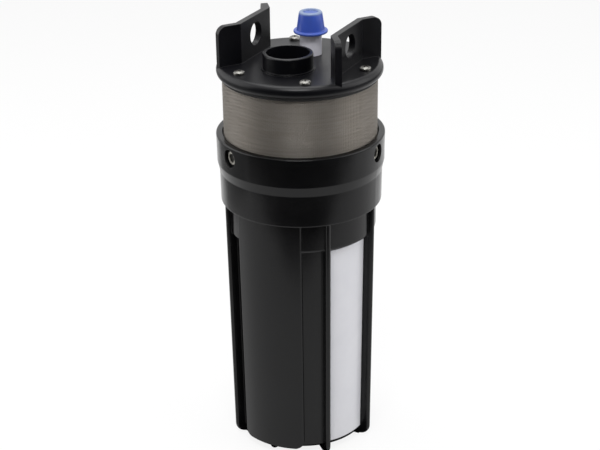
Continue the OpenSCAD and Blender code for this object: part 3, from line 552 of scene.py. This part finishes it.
def grown(name: str, tree: NodeTree, sizes: dict[str, object]) -> Mesh:
    """Runs a geometry tree and keeps its result as a plain mesh.

    Args:
        name: Name of the mesh.
        tree: The geometry tree.
        sizes: Values of the tree's named inputs.

    Returns:
        The mesh that the tree made.
    """
    holder = placed(name + "_grower", bpy.data.meshes.new(name + "_seed"))
    modifier = holder.modifiers.new("grow", "NODES")
    modifier.node_group = tree
    for item in tree.interface.items_tree:
        if item.item_type == "SOCKET" and item.in_out == "INPUT" and item.name in sizes:
            modifier[item.identifier] = sizes[item.name]
    mesh = settled(holder)
    mesh.name = name
    holder.modifiers.remove(modifier)
    bpy.data.objects.remove(holder)
    return mesh


def new_tree(name: str, sockets: dict[str, str]) -> tuple[NodeTree, NodeOutputs]:
    """Starts a geometry tree with named inputs.

    Args:
        name: Name of the tree.
        sockets: Input names with their kinds, such as Float or Material.

    Returns:
        The tree, and the sockets that give its inputs, by name.
    """
    tree = bpy.data.node_groups.new(name, "GeometryNodeTree")
    tree.interface.new_socket("Geometry", in_out="OUTPUT", socket_type="NodeSocketGeometry")
    for label, kind in sockets.items():
        tree.interface.new_socket(label, in_out="INPUT", socket_type="NodeSocket" + kind)
    return tree, add_node(tree, "NodeGroupInput").outputs


def close_tree(tree: NodeTree, copies: Node, given: NodeOutputs) -> NodeTree:
    """Makes the copies in a geometry tree real and dresses them.

    Args:
        tree: The geometry tree.
        copies: The node that gives the copies.
        given: The tree's inputs, with the material among them.

    Returns:
        The finished tree.
    """
    real = add_node(tree, "GeometryNodeRealizeInstances", {"Geometry": copies})
    dressed = add_node(tree, "GeometryNodeSetMaterial", {"Geometry": real, "Material": given["Finish"]})
    add_node(tree, "NodeGroupOutput", {"Geometry": dressed})
    return tree


def boolean_cut(mesh: Mesh, cutter: Mesh) -> Mesh:
    """Cuts one closed mesh out of another.

    Args:
        mesh: The mesh that stays.
        cutter: The mesh that is taken away.

    Returns:
        A new plain mesh.
    """
    target = placed("cut_target", mesh)
    tool = placed("cut_tool", cutter)
    modifier = target.modifiers.new("cut", "BOOLEAN")
    modifier.operation = "DIFFERENCE"
    modifier.solver = "EXACT"
    modifier.object = tool
    result = settled(target)
    result.name = mesh.name
    bpy.data.objects.remove(target)
    bpy.data.objects.remove(tool)
    return smooth(result)


def ring_tree(name: str) -> NodeTree:
    """Makes the geometry tree that sets copies of one piece round the axis.

    Args:
        name: Name of the ring.

    Returns:
        The tree, with the ring's sizes as its named inputs.
    """
    tree, given = new_tree(name + "_ring", {
        "Piece": "Object", "Count": "Int", "Start": "Float", "Radius": "Float", "Height": "Float",
        "Tilt": "Float", "Finish": "Material"})
    index = add_node(tree, "GeometryNodeInputIndex")
    step = add_node(tree, "ShaderNodeMath", {0: 2 * math.pi, 1: given["Count"]}, operation="DIVIDE")
    angle = add_node(tree, "ShaderNodeMath", {0: index, 1: step, 2: given["Start"]},
                     operation="MULTIPLY_ADD")
    front = add_node(tree, "ShaderNodeMath", {0: given["Radius"], 1: -1.0}, operation="MULTIPLY")
    first = add_node(tree, "ShaderNodeCombineXYZ", {"Y": front, "Z": given["Height"]})
    place = add_node(tree, "ShaderNodeVectorRotate", {"Vector": first, "Angle": angle},
                     rotation_type="Z_AXIS")
    points = add_node(tree, "GeometryNodePoints", {"Count": given["Count"], "Position": place})
    turn = add_node(tree, "ShaderNodeCombineXYZ", {"X": given["Tilt"], "Z": angle})
    piece = add_node(tree, "GeometryNodeObjectInfo", {"Object": given["Piece"]})
    copies = add_node(tree, "GeometryNodeInstanceOnPoints", {
        "Points": points, "Instance": piece.outputs["Geometry"], "Rotation": turn})
    return close_tree(tree, copies, given)


def spiral_tree(name: str) -> NodeTree:
    """Makes the geometry tree that sweeps a round section along a spiral.

    Args:
        name: Name of the spiral.

    Returns:
        The tree, with the spiral's sizes as its named inputs.
    """
    tree, given = new_tree(name, {
        "Turns": "Float", "Radius": "Float", "Height": "Float", "Section": "Float", "Steps": "Int",
        "Sides": "Int", "Place": "Vector", "Finish": "Material"})
    spiral = add_node(tree, "GeometryNodeCurveSpiral", {
        "Resolution": given["Steps"], "Rotations": given["Turns"], "Start Radius": given["Radius"],
        "End Radius": given["Radius"], "Height": given["Height"]})
    section = add_node(tree, "GeometryNodeCurvePrimitiveCircle", {
        "Resolution": given["Sides"], "Radius": given["Section"]}, mode="RADIUS")
    swept = add_node(tree, "GeometryNodeCurveToMesh", {
        "Curve": spiral, "Profile Curve": section, "Fill Caps": True})
    moved = add_node(tree, "GeometryNodeTransform", {"Geometry": swept, "Translation": given["Place"]})
    return close_tree(tree, moved, given)


class Drive(Enum):
    """The recess in a screw's head."""

    CROSS = "cross"
    HEXAGON = "hexagon"


@dataclass
class ScrewRing:
    """A ring of equal screws, their heads outwards along Z or along the radius."""

    name: str
    node: str
    drive: Drive
    count: int
    start: float
    radius: float
    height: float
    radial: bool
    head_r: float
    head_h: float
    shank_r: float
    length: float
    recess_w: float
    recess_depth: float
    thread_pitch: float = 1.4
    root_share: float = 0.82
    dome_share: float = 0.55
    head_edge: float = 0.15
    tip_h: float = 0.6
    cross_reach: float = 0.62
    recess_taper: float = 0.75
    finish: Finish = BRIGHT_STEEL

    def head_outline(self) -> Outline:
        """Draws one screw: domed head, shank with its thread as rings, blunt tip.

        Returns:
            Radius and height of the outline's points.
        """
        h, r, pitch = self.head_h, self.head_r, self.thread_pitch
        root = self.shank_r * self.root_share
        outline = [(0.0, h)]
        for k in range(1, 10):
            a = math.radians(10 * k)
            outline.append((r * math.sin(a), h * (1 - self.dome_share + self.dome_share * math.cos(a))))
        outline += [(r, self.head_edge), (r - self.head_edge, 0.0), (self.shank_r, 0.0)]
        # A short plain neck, then as many turns as leave a plain tip
        neck, plain = 0.4, 1.5
        for k in range(int((self.length - plain) / pitch)):
            z = -neck - k * pitch
            outline += [(self.shank_r, z), (root, z - pitch / 2)]
        return outline + [(root, self.tip_h - self.length), (root * 0.5, -self.length), (0.0, -self.length)]

    def recess(self) -> Mesh:
        """Makes the cutter of the tapered recess, which stands a little above the head.

        Returns:
            The cutter's closed mesh.
        """
        over = 0.5
        top = (self.head_h + over) * MM
        low = (self.head_h - self.recess_depth) * MM
        if self.drive is Drive.HEXAGON:
            corner = self.recess_w / math.sqrt(3)
            plan = [(corner * math.cos(a), corner * math.sin(a)) for a in (math.pi / 3 * k for k in range(6))]
        else:
            w, reach = self.recess_w / 2, self.head_r * self.cross_reach
            arm = [(reach, -w), (reach, w), (w, w)]
            plan = [(x * math.cos(q) - y * math.sin(q), x * math.sin(q) + y * math.cos(q))
                    for q in (math.pi / 2 * k for k in range(4)) for x, y in arm]
        verts = [(x * MM * self.recess_taper, y * MM * self.recess_taper, low) for x, y in plan]
        verts += [(x * MM, y * MM, top) for x, y in plan]
        n = len(plan)
        faces = [tuple(range(n - 1, -1, -1)), tuple(range(n, 2 * n))]
        faces += [(k, (k + 1) % n, n + (k + 1) % n, n + k) for k in range(n)]
        mesh = bpy.data.meshes.new(self.name + "_recess")
        mesh.from_pydata(verts, [], faces)
        return mesh

    def build(self) -> None:
        """Makes the ring of screws and lets it stand for its CAD node."""
        blank = outward(lathe(self.name + "_blank", self.head_outline(), 40))
        screw = placed(self.name + "_one", boolean_cut(blank, outward(self.recess())))
        mesh = grown(self.name, ring_tree(self.name), {
            "Piece": screw, "Count": self.count, "Start": math.radians(self.start),
            "Radius": self.radius * MM, "Height": self.height * MM,
            "Tilt": math.pi / 2 if self.radial else 0.0, "Finish": self.finish.build()})
        bpy.data.objects.remove(screw)
        add_piece(self.name, mesh, self.finish, BODY, "stainless", self.node)


@dataclass
class WovenScreen:
    """The filter screen: straight upright wires, with ring-shaped wires packed tightly over and under them.

    The real cloth has some forty rows to a centimetre; it is drawn a little coarser so that it shows.
    """

    radius: float = 42.95
    low: float = 189.7
    high: float = 223.3
    wire_r: float = 0.19
    warp_count: int = 240
    rows: int = 84

    SOCKETS: ClassVar[dict[str, str]] = {
        "Radius": "Float", "Low": "Float", "High": "Float", "Wire Radius": "Float", "Count": "Int",
        "Rows": "Int", "Finish": "Material"}

    def woven(self, tree: NodeTree, given: NodeOutputs, curve: Node, points: Node,
              turns: Node) -> NodeTree:
        """Sweeps a wire along its curve and sets copies of it.

        Args:
            tree: The geometry tree.
            given: The tree's inputs.
            curve: The node that gives the wire's curve.
            points: The node that gives the places of the copies.
            turns: The node that says how many upright wires on each copy is turned.

        Returns:
            The finished tree.
        """
        # Four sides are enough for a wire that is a pixel or two wide
        section = add_node(tree, "GeometryNodeCurvePrimitiveCircle", {
            "Resolution": 4, "Radius": given["Wire Radius"]}, mode="RADIUS")
        wire = add_node(tree, "GeometryNodeCurveToMesh", {
            "Curve": curve, "Profile Curve": section, "Fill Caps": True})
        step = add_node(tree, "ShaderNodeMath", {0: 2 * math.pi, 1: given["Count"]}, operation="DIVIDE")
        angle = add_node(tree, "ShaderNodeMath", {0: turns, 1: step}, operation="MULTIPLY")
        turn = add_node(tree, "ShaderNodeCombineXYZ", {"Z": angle})
        copies = add_node(tree, "GeometryNodeInstanceOnPoints", {
            "Points": points, "Instance": wire, "Rotation": turn})
        soft = add_node(tree, "GeometryNodeSetShadeSmooth", {"Geometry": copies})
        return close_tree(tree, soft, given)

    def warp_tree(self) -> NodeTree:
        """Makes the upright wires.

        Returns:
            Their geometry tree.
        """
        tree, given = new_tree("screen_warp_wires", self.SOCKETS)
        index = add_node(tree, "GeometryNodeInputIndex")
        start, end = (add_node(tree, "ShaderNodeCombineXYZ", {
            "X": given["Radius"], "Z": given[edge]}) for edge in ("Low", "High"))
        line = add_node(tree, "GeometryNodeCurvePrimitiveLine", {"Start": start, "End": end})
        points = add_node(tree, "GeometryNodePoints", {"Count": given["Count"]})
        return self.woven(tree, given, line, points, index)

    def weft_tree(self) -> NodeTree:
        """Makes the ring-shaped wires, each over and under in turn and the next one opposite.

        Returns:
            Their geometry tree.
        """
        tree, given = new_tree("screen_weft_wires", self.SOCKETS)
        index = add_node(tree, "GeometryNodeInputIndex")
        ring = add_node(tree, "GeometryNodeCurvePrimitiveCircle", {
            "Resolution": given["Count"], "Radius": given["Radius"]}, mode="RADIUS")
        odd = add_node(tree, "ShaderNodeMath", {0: index, 1: 2.0}, operation="MODULO")
        sign = add_node(tree, "ShaderNodeMath", {0: odd, 1: 2.0, 2: -1.0}, operation="MULTIPLY_ADD")
        shift = add_node(tree, "ShaderNodeMath", {0: sign, 1: given["Wire Radius"]}, operation="MULTIPLY")
        place = add_node(tree, "GeometryNodeInputPosition")
        outwards = add_node(tree, "ShaderNodeVectorMath", {0: place}, operation="NORMALIZE")
        offset = add_node(tree, "ShaderNodeVectorMath", {0: outwards, "Scale": shift}, operation="SCALE")
        wave = add_node(tree, "GeometryNodeSetPosition", {"Geometry": ring, "Offset": offset})
        last = add_node(tree, "ShaderNodeMath", {0: given["Rows"], 1: 1.0}, operation="SUBTRACT")
        height = add_node(tree, "ShaderNodeMapRange", {
            "Value": index, "From Min": 0.0, "From Max": last,
            "To Min": given["Low"], "To Max": given["High"]})
        spot = add_node(tree, "ShaderNodeCombineXYZ", {"Z": height})
        points = add_node(tree, "GeometryNodePoints", {"Count": given["Rows"], "Position": spot})
        return self.woven(tree, given, wave, points, odd)

    def build(self) -> None:
        """Weaves the screen and lets it stand for its CAD node."""
        sizes = {"Radius": self.radius * MM, "Low": (self.low + self.wire_r) * MM,
                 "High": (self.high - self.wire_r) * MM, "Wire Radius": self.wire_r * MM,
                 "Count": self.warp_count, "Rows": self.rows, "Finish": SCREEN_WIRE.build()}
        for name, tree in (("screen_warp", self.warp_tree()), ("screen_weft", self.weft_tree())):
            add_piece(name, grown(name, tree, sizes), SCREEN_WIRE, BODY, "screen_mesh", "filter_screen")


@dataclass
class OutletThread:
    """The pipe thread inside the outlet port, as one ridge that winds up the bore."""

    y: float = -14.4
    bore_r: float = 9.3
    low: float = 211.0
    high: float = 229.2
    pitch: float = 1.814
    depth: float = 0.8
    steps: int = 64
    sides: int = 6

    def build(self) -> None:
        """Winds the thread up the port."""
        rise = self.high - self.low
        mesh = grown("outlet_thread", spiral_tree("outlet_thread_ridge"), {
            "Turns": rise / self.pitch, "Radius": self.bore_r * MM, "Height": rise * MM,
            "Section": self.depth * MM, "Steps": self.steps, "Sides": self.sides,
            "Place": (0.0, self.y * MM, self.low * MM), "Finish": FILLED_NYLON.build()})
        add_piece("outlet_thread", smooth(mesh, 40), FILLED_NYLON, BODY, "housing_plastic")


@dataclass
class BypassSpring:
    """The coil over the bypass valve, which shortens towards its plug as the valve lifts."""

    x: float = 18.0
    low: float = 206.87
    high: float = 212.93
    coil_r: float = 2.6
    wire_r: float = 0.35
    turns: float = 4.0
    lift: float = 2.2
    steps: int = 32
    sides: int = 10

    def build(self) -> None:
        """Winds the spring and lets it stand for its CAD node."""
        finish = NODE_FINISHES["spring_wire"]
        rise = self.high - self.low - 2 * self.wire_r
        mesh = grown("bypass_coil", spiral_tree("bypass_coil"), {
            "Turns": self.turns, "Radius": self.coil_r * MM, "Height": rise * MM,
            "Section": self.wire_r * MM, "Steps": self.steps, "Sides": self.sides,
            "Place": (self.x * MM, 0.0, (self.low + self.wire_r) * MM), "Finish": finish.build()})
        spring = add_piece("bypass_coil", outward(smooth(mesh, 40)), finish, BODY, "spring_wire",
                           "bypass_spring")
        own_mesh(spring)


@dataclass
class ArmatureCoils:
    """The rotor's copper coils, each wound up one slot of the core and down another some slots on."""

    node: str = "armature_windings"
    slots: int = 12
    span: int = 5
    end_h: float = 8.0
    wire_r: float = 0.46
    rows: tuple[tuple[float, float, float], ...] = (
        (22.4, 17.4, 2.8), (21.2, 16.3, 4.2), (20.0, 15.2, 5.6), (18.8, 14.1, 7.0))
    columns: tuple[float, ...] = (-1.15, 0.0, 1.15)
    end_gap: float = 0.8
    arc_steps: int = 12
    arc_fullness: float = 0.7

    def loop(self, row: tuple[float, float, float], column: float, low: float,
             high: float) -> list[Point]:
        """Lays one turn of wire.

        Args:
            row: Its radius in the first slot and in the second, and its rise over the core.
            column: Its place across the slot.
            low: Height of the core's lower face.
            high: Height of the core's upper face.

        Returns:
            The points of the closed turn, in millimetres.
        """
        first, second, rise = row
        points: list[Point] = []
        for face, way in ((high, 1), (low, -1)):
            for k in range(self.arc_steps + 1):
                share = k / self.arc_steps if way > 0 else 1 - k / self.arc_steps
                r = first + (second - first) * share
                a = 2 * math.pi * self.span / self.slots * share + column / r
                bow = math.sin(math.pi * share) ** self.arc_fullness
                lift = self.end_gap + (rise - self.end_gap) * bow
                points.append((r * math.sin(a), -r * math.cos(a), face + way * lift))
        return points

    def build(self) -> None:
        """Winds one coil, sets it round the rotor and lets the ring stand for its CAD node."""
        finish = NODE_FINISHES["copper"]
        low, high = (corner[2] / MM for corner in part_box(self.node))
        wires = bpy.data.curves.new("coil_wires", "CURVE")
        wires.dimensions = "3D"
        wires.bevel_depth = self.wire_r * MM
        wires.bevel_resolution = 1
        for row in self.rows:
            for column in self.columns:
                points = self.loop(row, column, low + self.end_h, high - self.end_h)
                spline = wires.splines.new("POLY")
                spline.points.add(len(points) - 1)
                for corner, point in zip(spline.points, points):
                    corner.co = (*(v * MM for v in point), 1.0)
                spline.use_cyclic_u = True
        bundle = placed("coil_wires", wires)
        coil = placed("one_coil", settled(bundle))
        mesh = grown("armature_coils", ring_tree("armature_coils"), {
            "Piece": coil, "Count": self.slots, "Start": 0.0, "Radius": 0.0, "Height": 0.0, "Tilt": 0.0,
            "Finish": finish.build()})
        bpy.data.objects.remove(bundle)
        bpy.data.objects.remove(coil)
        add_piece("armature_coils", outward(smooth(mesh, 60)), finish, ROTOR_BODY, "copper", self.node)


@dataclass
class SocketAndCap:
    """The milky electric socket and the soft cap pushed over its spigot."""

    y: float = 14.4
    flange_low: float = 221.0
    flange_top: float = 223.5
    flange_r: float = 8.2
    stem_r: float = 6.2
    stem_top: float = 243.8
    spigot_r: float = 5.0
    spigot_top: float = 252.0
    bore_r: float = 3.9
    bore_low: float = 237.8
    cap_low: float = 243.9
    cap_top: float = 255.8
    cap_flange_r: float = 9.6
    cap_flange_t: float = 1.5
    cap_base_r: float = 7.9
    cap_top_r: float = 6.4
    cap_bore_r: float = 5.15
    cap_bore_top: float = 253.0
    dish_r: float = 4.2
    dish_depth: float = 1.0

    def socket_outline(self) -> Outline:
        """Draws the socket, with the seal groove of its spigot.

        Returns:
            Radius and height of the outline's points.
        """
        groove = (self.stem_top + self.spigot_top) / 2
        return rounded([
            (0, self.flange_low, 0), (self.flange_r, self.flange_low, 0.3),
            (self.flange_r, self.flange_top, 0.3),
            (self.stem_r, self.flange_top, 0.0), (self.stem_r, self.stem_top, 0.4),
            (self.spigot_r, self.stem_top, 0.2),
            (self.spigot_r, groove - 0.7, 0.1), (self.spigot_r - 0.5, groove - 0.5, 0.1),
            (self.spigot_r - 0.5, groove + 0.5, 0.1), (self.spigot_r, groove + 0.7, 0.1),
            (self.spigot_r, self.spigot_top, 0.4), (self.bore_r, self.spigot_top, 0.3),
            (self.bore_r, self.bore_low, 0.4), (0, self.bore_low, 0)])

    def cap_outline(self) -> Outline:
        """Draws the cap: flange with a rolled rim, tapered wall, dished top, hollow inside.

        Returns:
            Radius and height of the outline's points.
        """
        low, top, shoulder = self.cap_low, self.cap_top, self.cap_low + self.cap_flange_t
        return rounded([
            (self.cap_bore_r, low, 0.3), (self.cap_flange_r, low, 0.5),
            (self.cap_flange_r, shoulder, 0.6),
            (self.cap_base_r, shoulder - 0.1, 0.5), (self.cap_top_r, top, 1.1),
            (self.dish_r + 0.3, top, 0.35),
            (self.dish_r - 0.2, top - self.dish_depth, 0.35), (0, top - self.dish_depth - 0.15, 0),
            (0, self.cap_bore_top, 0), (self.cap_bore_r, self.cap_bore_top, 0.5)], 6)

    def build(self) -> None:
        """Turns both mouldings and lets them stand for their CAD nodes."""
        shift = Matrix.Translation((0.0, self.y * MM, 0.0))
        socket = outward(lathe("socket_moulding", self.socket_outline()))
        cap = outward(lathe("cap_moulding", self.cap_outline()))
        socket.transform(shift)
        cap.transform(shift)
        add_piece("socket_moulding", socket, NYLON, BODY, "natural_nylon", "connector_socket")
        add_piece("cap_moulding", cap, CAP_POLYETHYLENE, CAP_BODY, "cap_blue", "protective_cap")


@dataclass
class Studio:
    """Pale floor, soft boxes, dark cards and the camera at the photograph's viewing angle.

    Sizes are in millimetres and angles in degrees.
    """

    eye: Point = (323.2, -662.6, 473.5)
    azimuth: float = 26.0
    pitch: float = 24.87
    roll: float = -0.765
    yaw: float = -0.083
    lens: float = 84.0
    sensor: float = 36.0
    clip: float = 10.0
    # Each soft box: its place, what it points at, its width and height, and its power in watts
    lamp_panels: dict[str, tuple[Point, Point, tuple[float, float], float]] = field(default_factory=lambda: {
        "softbox_left": ((-900, -250, 560), (0, 0, 130), (900, 1000), 3.6),
        "softbox_right": ((850, 250, 560), (0, 0, 130), (900, 1000), 4.5),
        "softbox_top": ((-150, 250, 1100), (0, 0, 200), (800, 600), 5.0),
        "softbox_front": ((190, -490, 1050), (0, 0, 210), (400, 250), 5.0),
    })
    room_level: float = 0.42
    floor_reach: float = 6000
    floor_glow: float = 0.85
    # Each card: how bright it looks in the plastic, and its near edge as turns from the camera's
    # side and distances from the axis
    card_edges: dict[str, tuple[float, tuple[tuple[float, float], ...]]] = field(default_factory=lambda: {
        "front_card": (0.0, (
            (-72, 430), (-58, 412), (-36, 330), (-13, 280), (0, 272), (10, 278), (23, 308), (40, 370),
            (55, 440), (80, 560), (110, 590), (130, 760), (150, 1300), (166, 2500))),
        "left_card": (0.36, (
            (-174, 2500), (-160, 1100), (-148, 620), (-136, 440), (-124, 350), (-95, 365), (-72, 430))),
    })
    card_reach: float = 2600
    card_h: float = 1.0
    card_lip: float = 2.0
    card_rise: float = 3000
    rise_span: float = 70
    # Radius and height of a black disc under the pump: a painted contact shadow that the gloss sees
    shadow_card_r: float = 44
    shadow_card_h: float = 0.3

    def camera(self) -> None:
        """Sets the camera at the photograph's viewing angle."""
        p, w, q = (math.radians(v) for v in (self.pitch, self.yaw, self.roll))
        ahead = Vector((math.sin(w) * math.cos(p), math.cos(w) * math.cos(p), -math.sin(p)))
        right = Vector((math.cos(w), -math.sin(w), 0.0))
        up = right.cross(ahead)
        right, up = (math.cos(q) * right + math.sin(q) * up, math.cos(q) * up - math.sin(q) * right)
        turn = Matrix((right, up, -ahead)).transposed()
        camera = placed("camera", bpy.data.cameras.new("camera"))
        camera.data.lens = self.lens
        camera.data.sensor_width = self.sensor
        camera.data.clip_start = self.clip * MM
        place = Matrix.Translation(Vector(self.eye) * MM)
        camera.matrix_world = place @ Matrix.Rotation(math.radians(self.azimuth), 4, "Z") @ turn.to_4x4()
        bpy.context.scene.camera = camera

    def white_share(self, tree: NodeTree, low: float, high: float) -> Node:
        """Adds the switch that shows a white surrounding to the eye, in gloss and through clear pieces.

        Args:
            tree: The floor's or the world's tree.
            low: Value for the light that falls on the pump.
            high: Value for what is seen.

        Returns:
            The node that gives the value.
        """
        path = add_node(tree, "ShaderNodeLightPath").outputs
        gloss = add_node(tree, "ShaderNodeMath", {0: path["Is Glossy Ray"], 1: path["Is Transmission Ray"]},
                         operation="MAXIMUM")
        seen = add_node(tree, "ShaderNodeMath", {0: path["Is Camera Ray"], 1: gloss}, operation="MAXIMUM")
        return add_node(tree, "ShaderNodeMapRange", {"Value": seen, "To Min": low, "To Max": high})

    def floor(self) -> None:
        """Lays the floor, white to the camera where nothing shades it."""
        mesh = bpy.data.meshes.new("floor")
        reach = self.floor_reach * MM
        mesh.from_pydata([(-reach, -reach, 0), (reach, -reach, 0), (reach, reach, 0), (-reach, reach, 0)],
                         [], [(0, 1, 2, 3)])
        # Matt white paper that takes the pump's shadow, and glows white to the eye
        material = empty_material("floor_paper")
        tree = material.node_tree
        matt = add_node(tree, "ShaderNodeBsdfDiffuse", {"Color": hex_linear("f2f2f2")})
        glow = add_node(tree, "ShaderNodeEmission", {"Color": (1, 1, 1, 1), "Strength": 1.0})
        mix = add_node(tree, "ShaderNodeMixShader", {
            "Fac": self.white_share(tree, 0.0, self.floor_glow), 1: matt, 2: glow})
        add_node(tree, "ShaderNodeOutputMaterial", {"Surface": mix})
        mesh.materials.append(material)
        placed("floor", mesh)

    def cards(self) -> None:
        """Lays dark cards round the front and sides, turned up at the far edge in front of the pump, and a
        black disc under it as a painted contact shadow.
        """
        for name, (level, edges) in self.card_edges.items():
            count = len(edges)
            rings: list[list[Point]] = [[], [], []]
            for turn, edge in edges:
                a = math.radians(self.azimuth + turn)
                rise = self.card_rise if abs(turn) < self.rise_span else self.card_lip
                outline = ((edge, self.card_h), (self.card_reach, self.card_h), (self.card_reach, rise))
                for ring, (r, z) in zip(rings, outline):
                    ring.append((r * math.sin(a), -r * math.cos(a), z))
            faces = [(k, k + 1, k + count + 1, k + count) for k in range(2 * count - 1) if (k + 1) % count]
            self.card(name, level, [corner for ring in rings for corner in ring], faces)
        # Painted contact shadow: a black disc under the pump that only the gloss sees
        foot = [(self.shadow_card_r * math.cos(a), self.shadow_card_r * math.sin(a), self.shadow_card_h)
                for a in (math.radians(5 * k) for k in range(72))]
        self.card("foot_card", 0.0, foot, [tuple(range(len(foot)))])

    def card(self, name: str, level: float, corners: list[Point], faces: list[tuple[int, ...]]) -> None:
        """Lays one card, which shows in reflections alone and takes no light from the pump.

        Args:
            name: Name of the card.
            level: How bright it looks in the plastic, from 0 to 1.
            corners: Its points, in millimetres.
            faces: Its faces.
        """
        mesh = bpy.data.meshes.new(name)
        mesh.from_pydata([tuple(c * MM for c in corner) for corner in corners], [], faces)
        # Plain cloth that the gloss sees as an even grey
        material = empty_material(name + "_cloth")
        tree = material.node_tree
        cloth = add_node(tree, "ShaderNodeEmission", {"Color": (1, 1, 1, 1), "Strength": level})
        add_node(tree, "ShaderNodeOutputMaterial", {"Surface": cloth})
        mesh.materials.append(material)
        panel = placed(name, mesh)
        panel.visible_camera = panel.visible_diffuse = False
        panel.visible_shadow = panel.visible_transmission = False

    def lamps(self) -> None:
        """Hangs the soft boxes and sets the pale surroundings."""
        for name, (place, target, size, power) in self.lamp_panels.items():
            data = bpy.data.lights.new(name, "AREA")
            data.shape = "RECTANGLE"
            data.size, data.size_y = size[0] * MM, size[1] * MM
            data.energy = power
            lamp = placed(name, data)
            lamp.location = Vector(place) * MM
            lamp.rotation_euler = (Vector(target) - Vector(place)).to_track_quat("-Z", "Y").to_euler()
        world = bpy.data.worlds.new("pale_room")
        bpy.context.scene.world = world
        world.use_nodes = True
        tree = world.node_tree
        tree.nodes.clear()
        air = add_node(tree, "ShaderNodeBackground", {
            "Color": (1, 1, 1, 1), "Strength": self.white_share(tree, self.room_level, 1.0)})
        add_node(tree, "ShaderNodeOutputWorld", {"Surface": air})

    def build(self) -> None:
        """Sets up the whole studio."""
        bpy.context.scene.view_settings.view_transform = "Standard"
        self.camera()
        self.floor()
        self.cards()
        self.lamps()


def dress_nodes() -> None:
    """Gives every CAD node the finish of its material slot."""
    for entry in frame["record"]["subparts"]:
        node = frame["nodes"][entry["node"]]
        finish = PLATE_ABS if entry["node"] == "lift_plate" else NODE_FINISHES[entry["material_slot"]]
        material = finish.build()
        if not node.material_slots:
            node.data.materials.append(material)
        for slot in node.material_slots:
            slot.material = material
        LOG.info("%s: %s", entry["node"], finish.name)


def main() -> None:
    """Builds the studio and every piece of the pump."""
    logging.basicConfig(level=logging.INFO, format="%(name)s %(message)s")
    Studio().build()
    dress_nodes()
    WovenScreen().build()
    ScrewRing("plate_screws", "lift_plate_screws", Drive.CROSS, count=6, start=30.0, radius=39.3,
              height=231.5, radial=False, head_r=3.1, head_h=2.2, shank_r=1.9, length=20.0,
              recess_w=0.95, recess_depth=1.3).build()
    ScrewRing("collar_screws", "canister_screws", Drive.HEXAGON, count=3, start=-30.0, radius=44.7,
              height=184.5, radial=True, head_r=4.0, head_h=1.5, shank_r=2.2, length=7.7,
              recess_w=6.0, recess_depth=1.3, finish=COLLAR_STEEL).build()
    OutletThread().build()
    BypassSpring().build()
    ArmatureCoils().build()
    SocketAndCap().build()


if __name__ == "__main__":
    main()
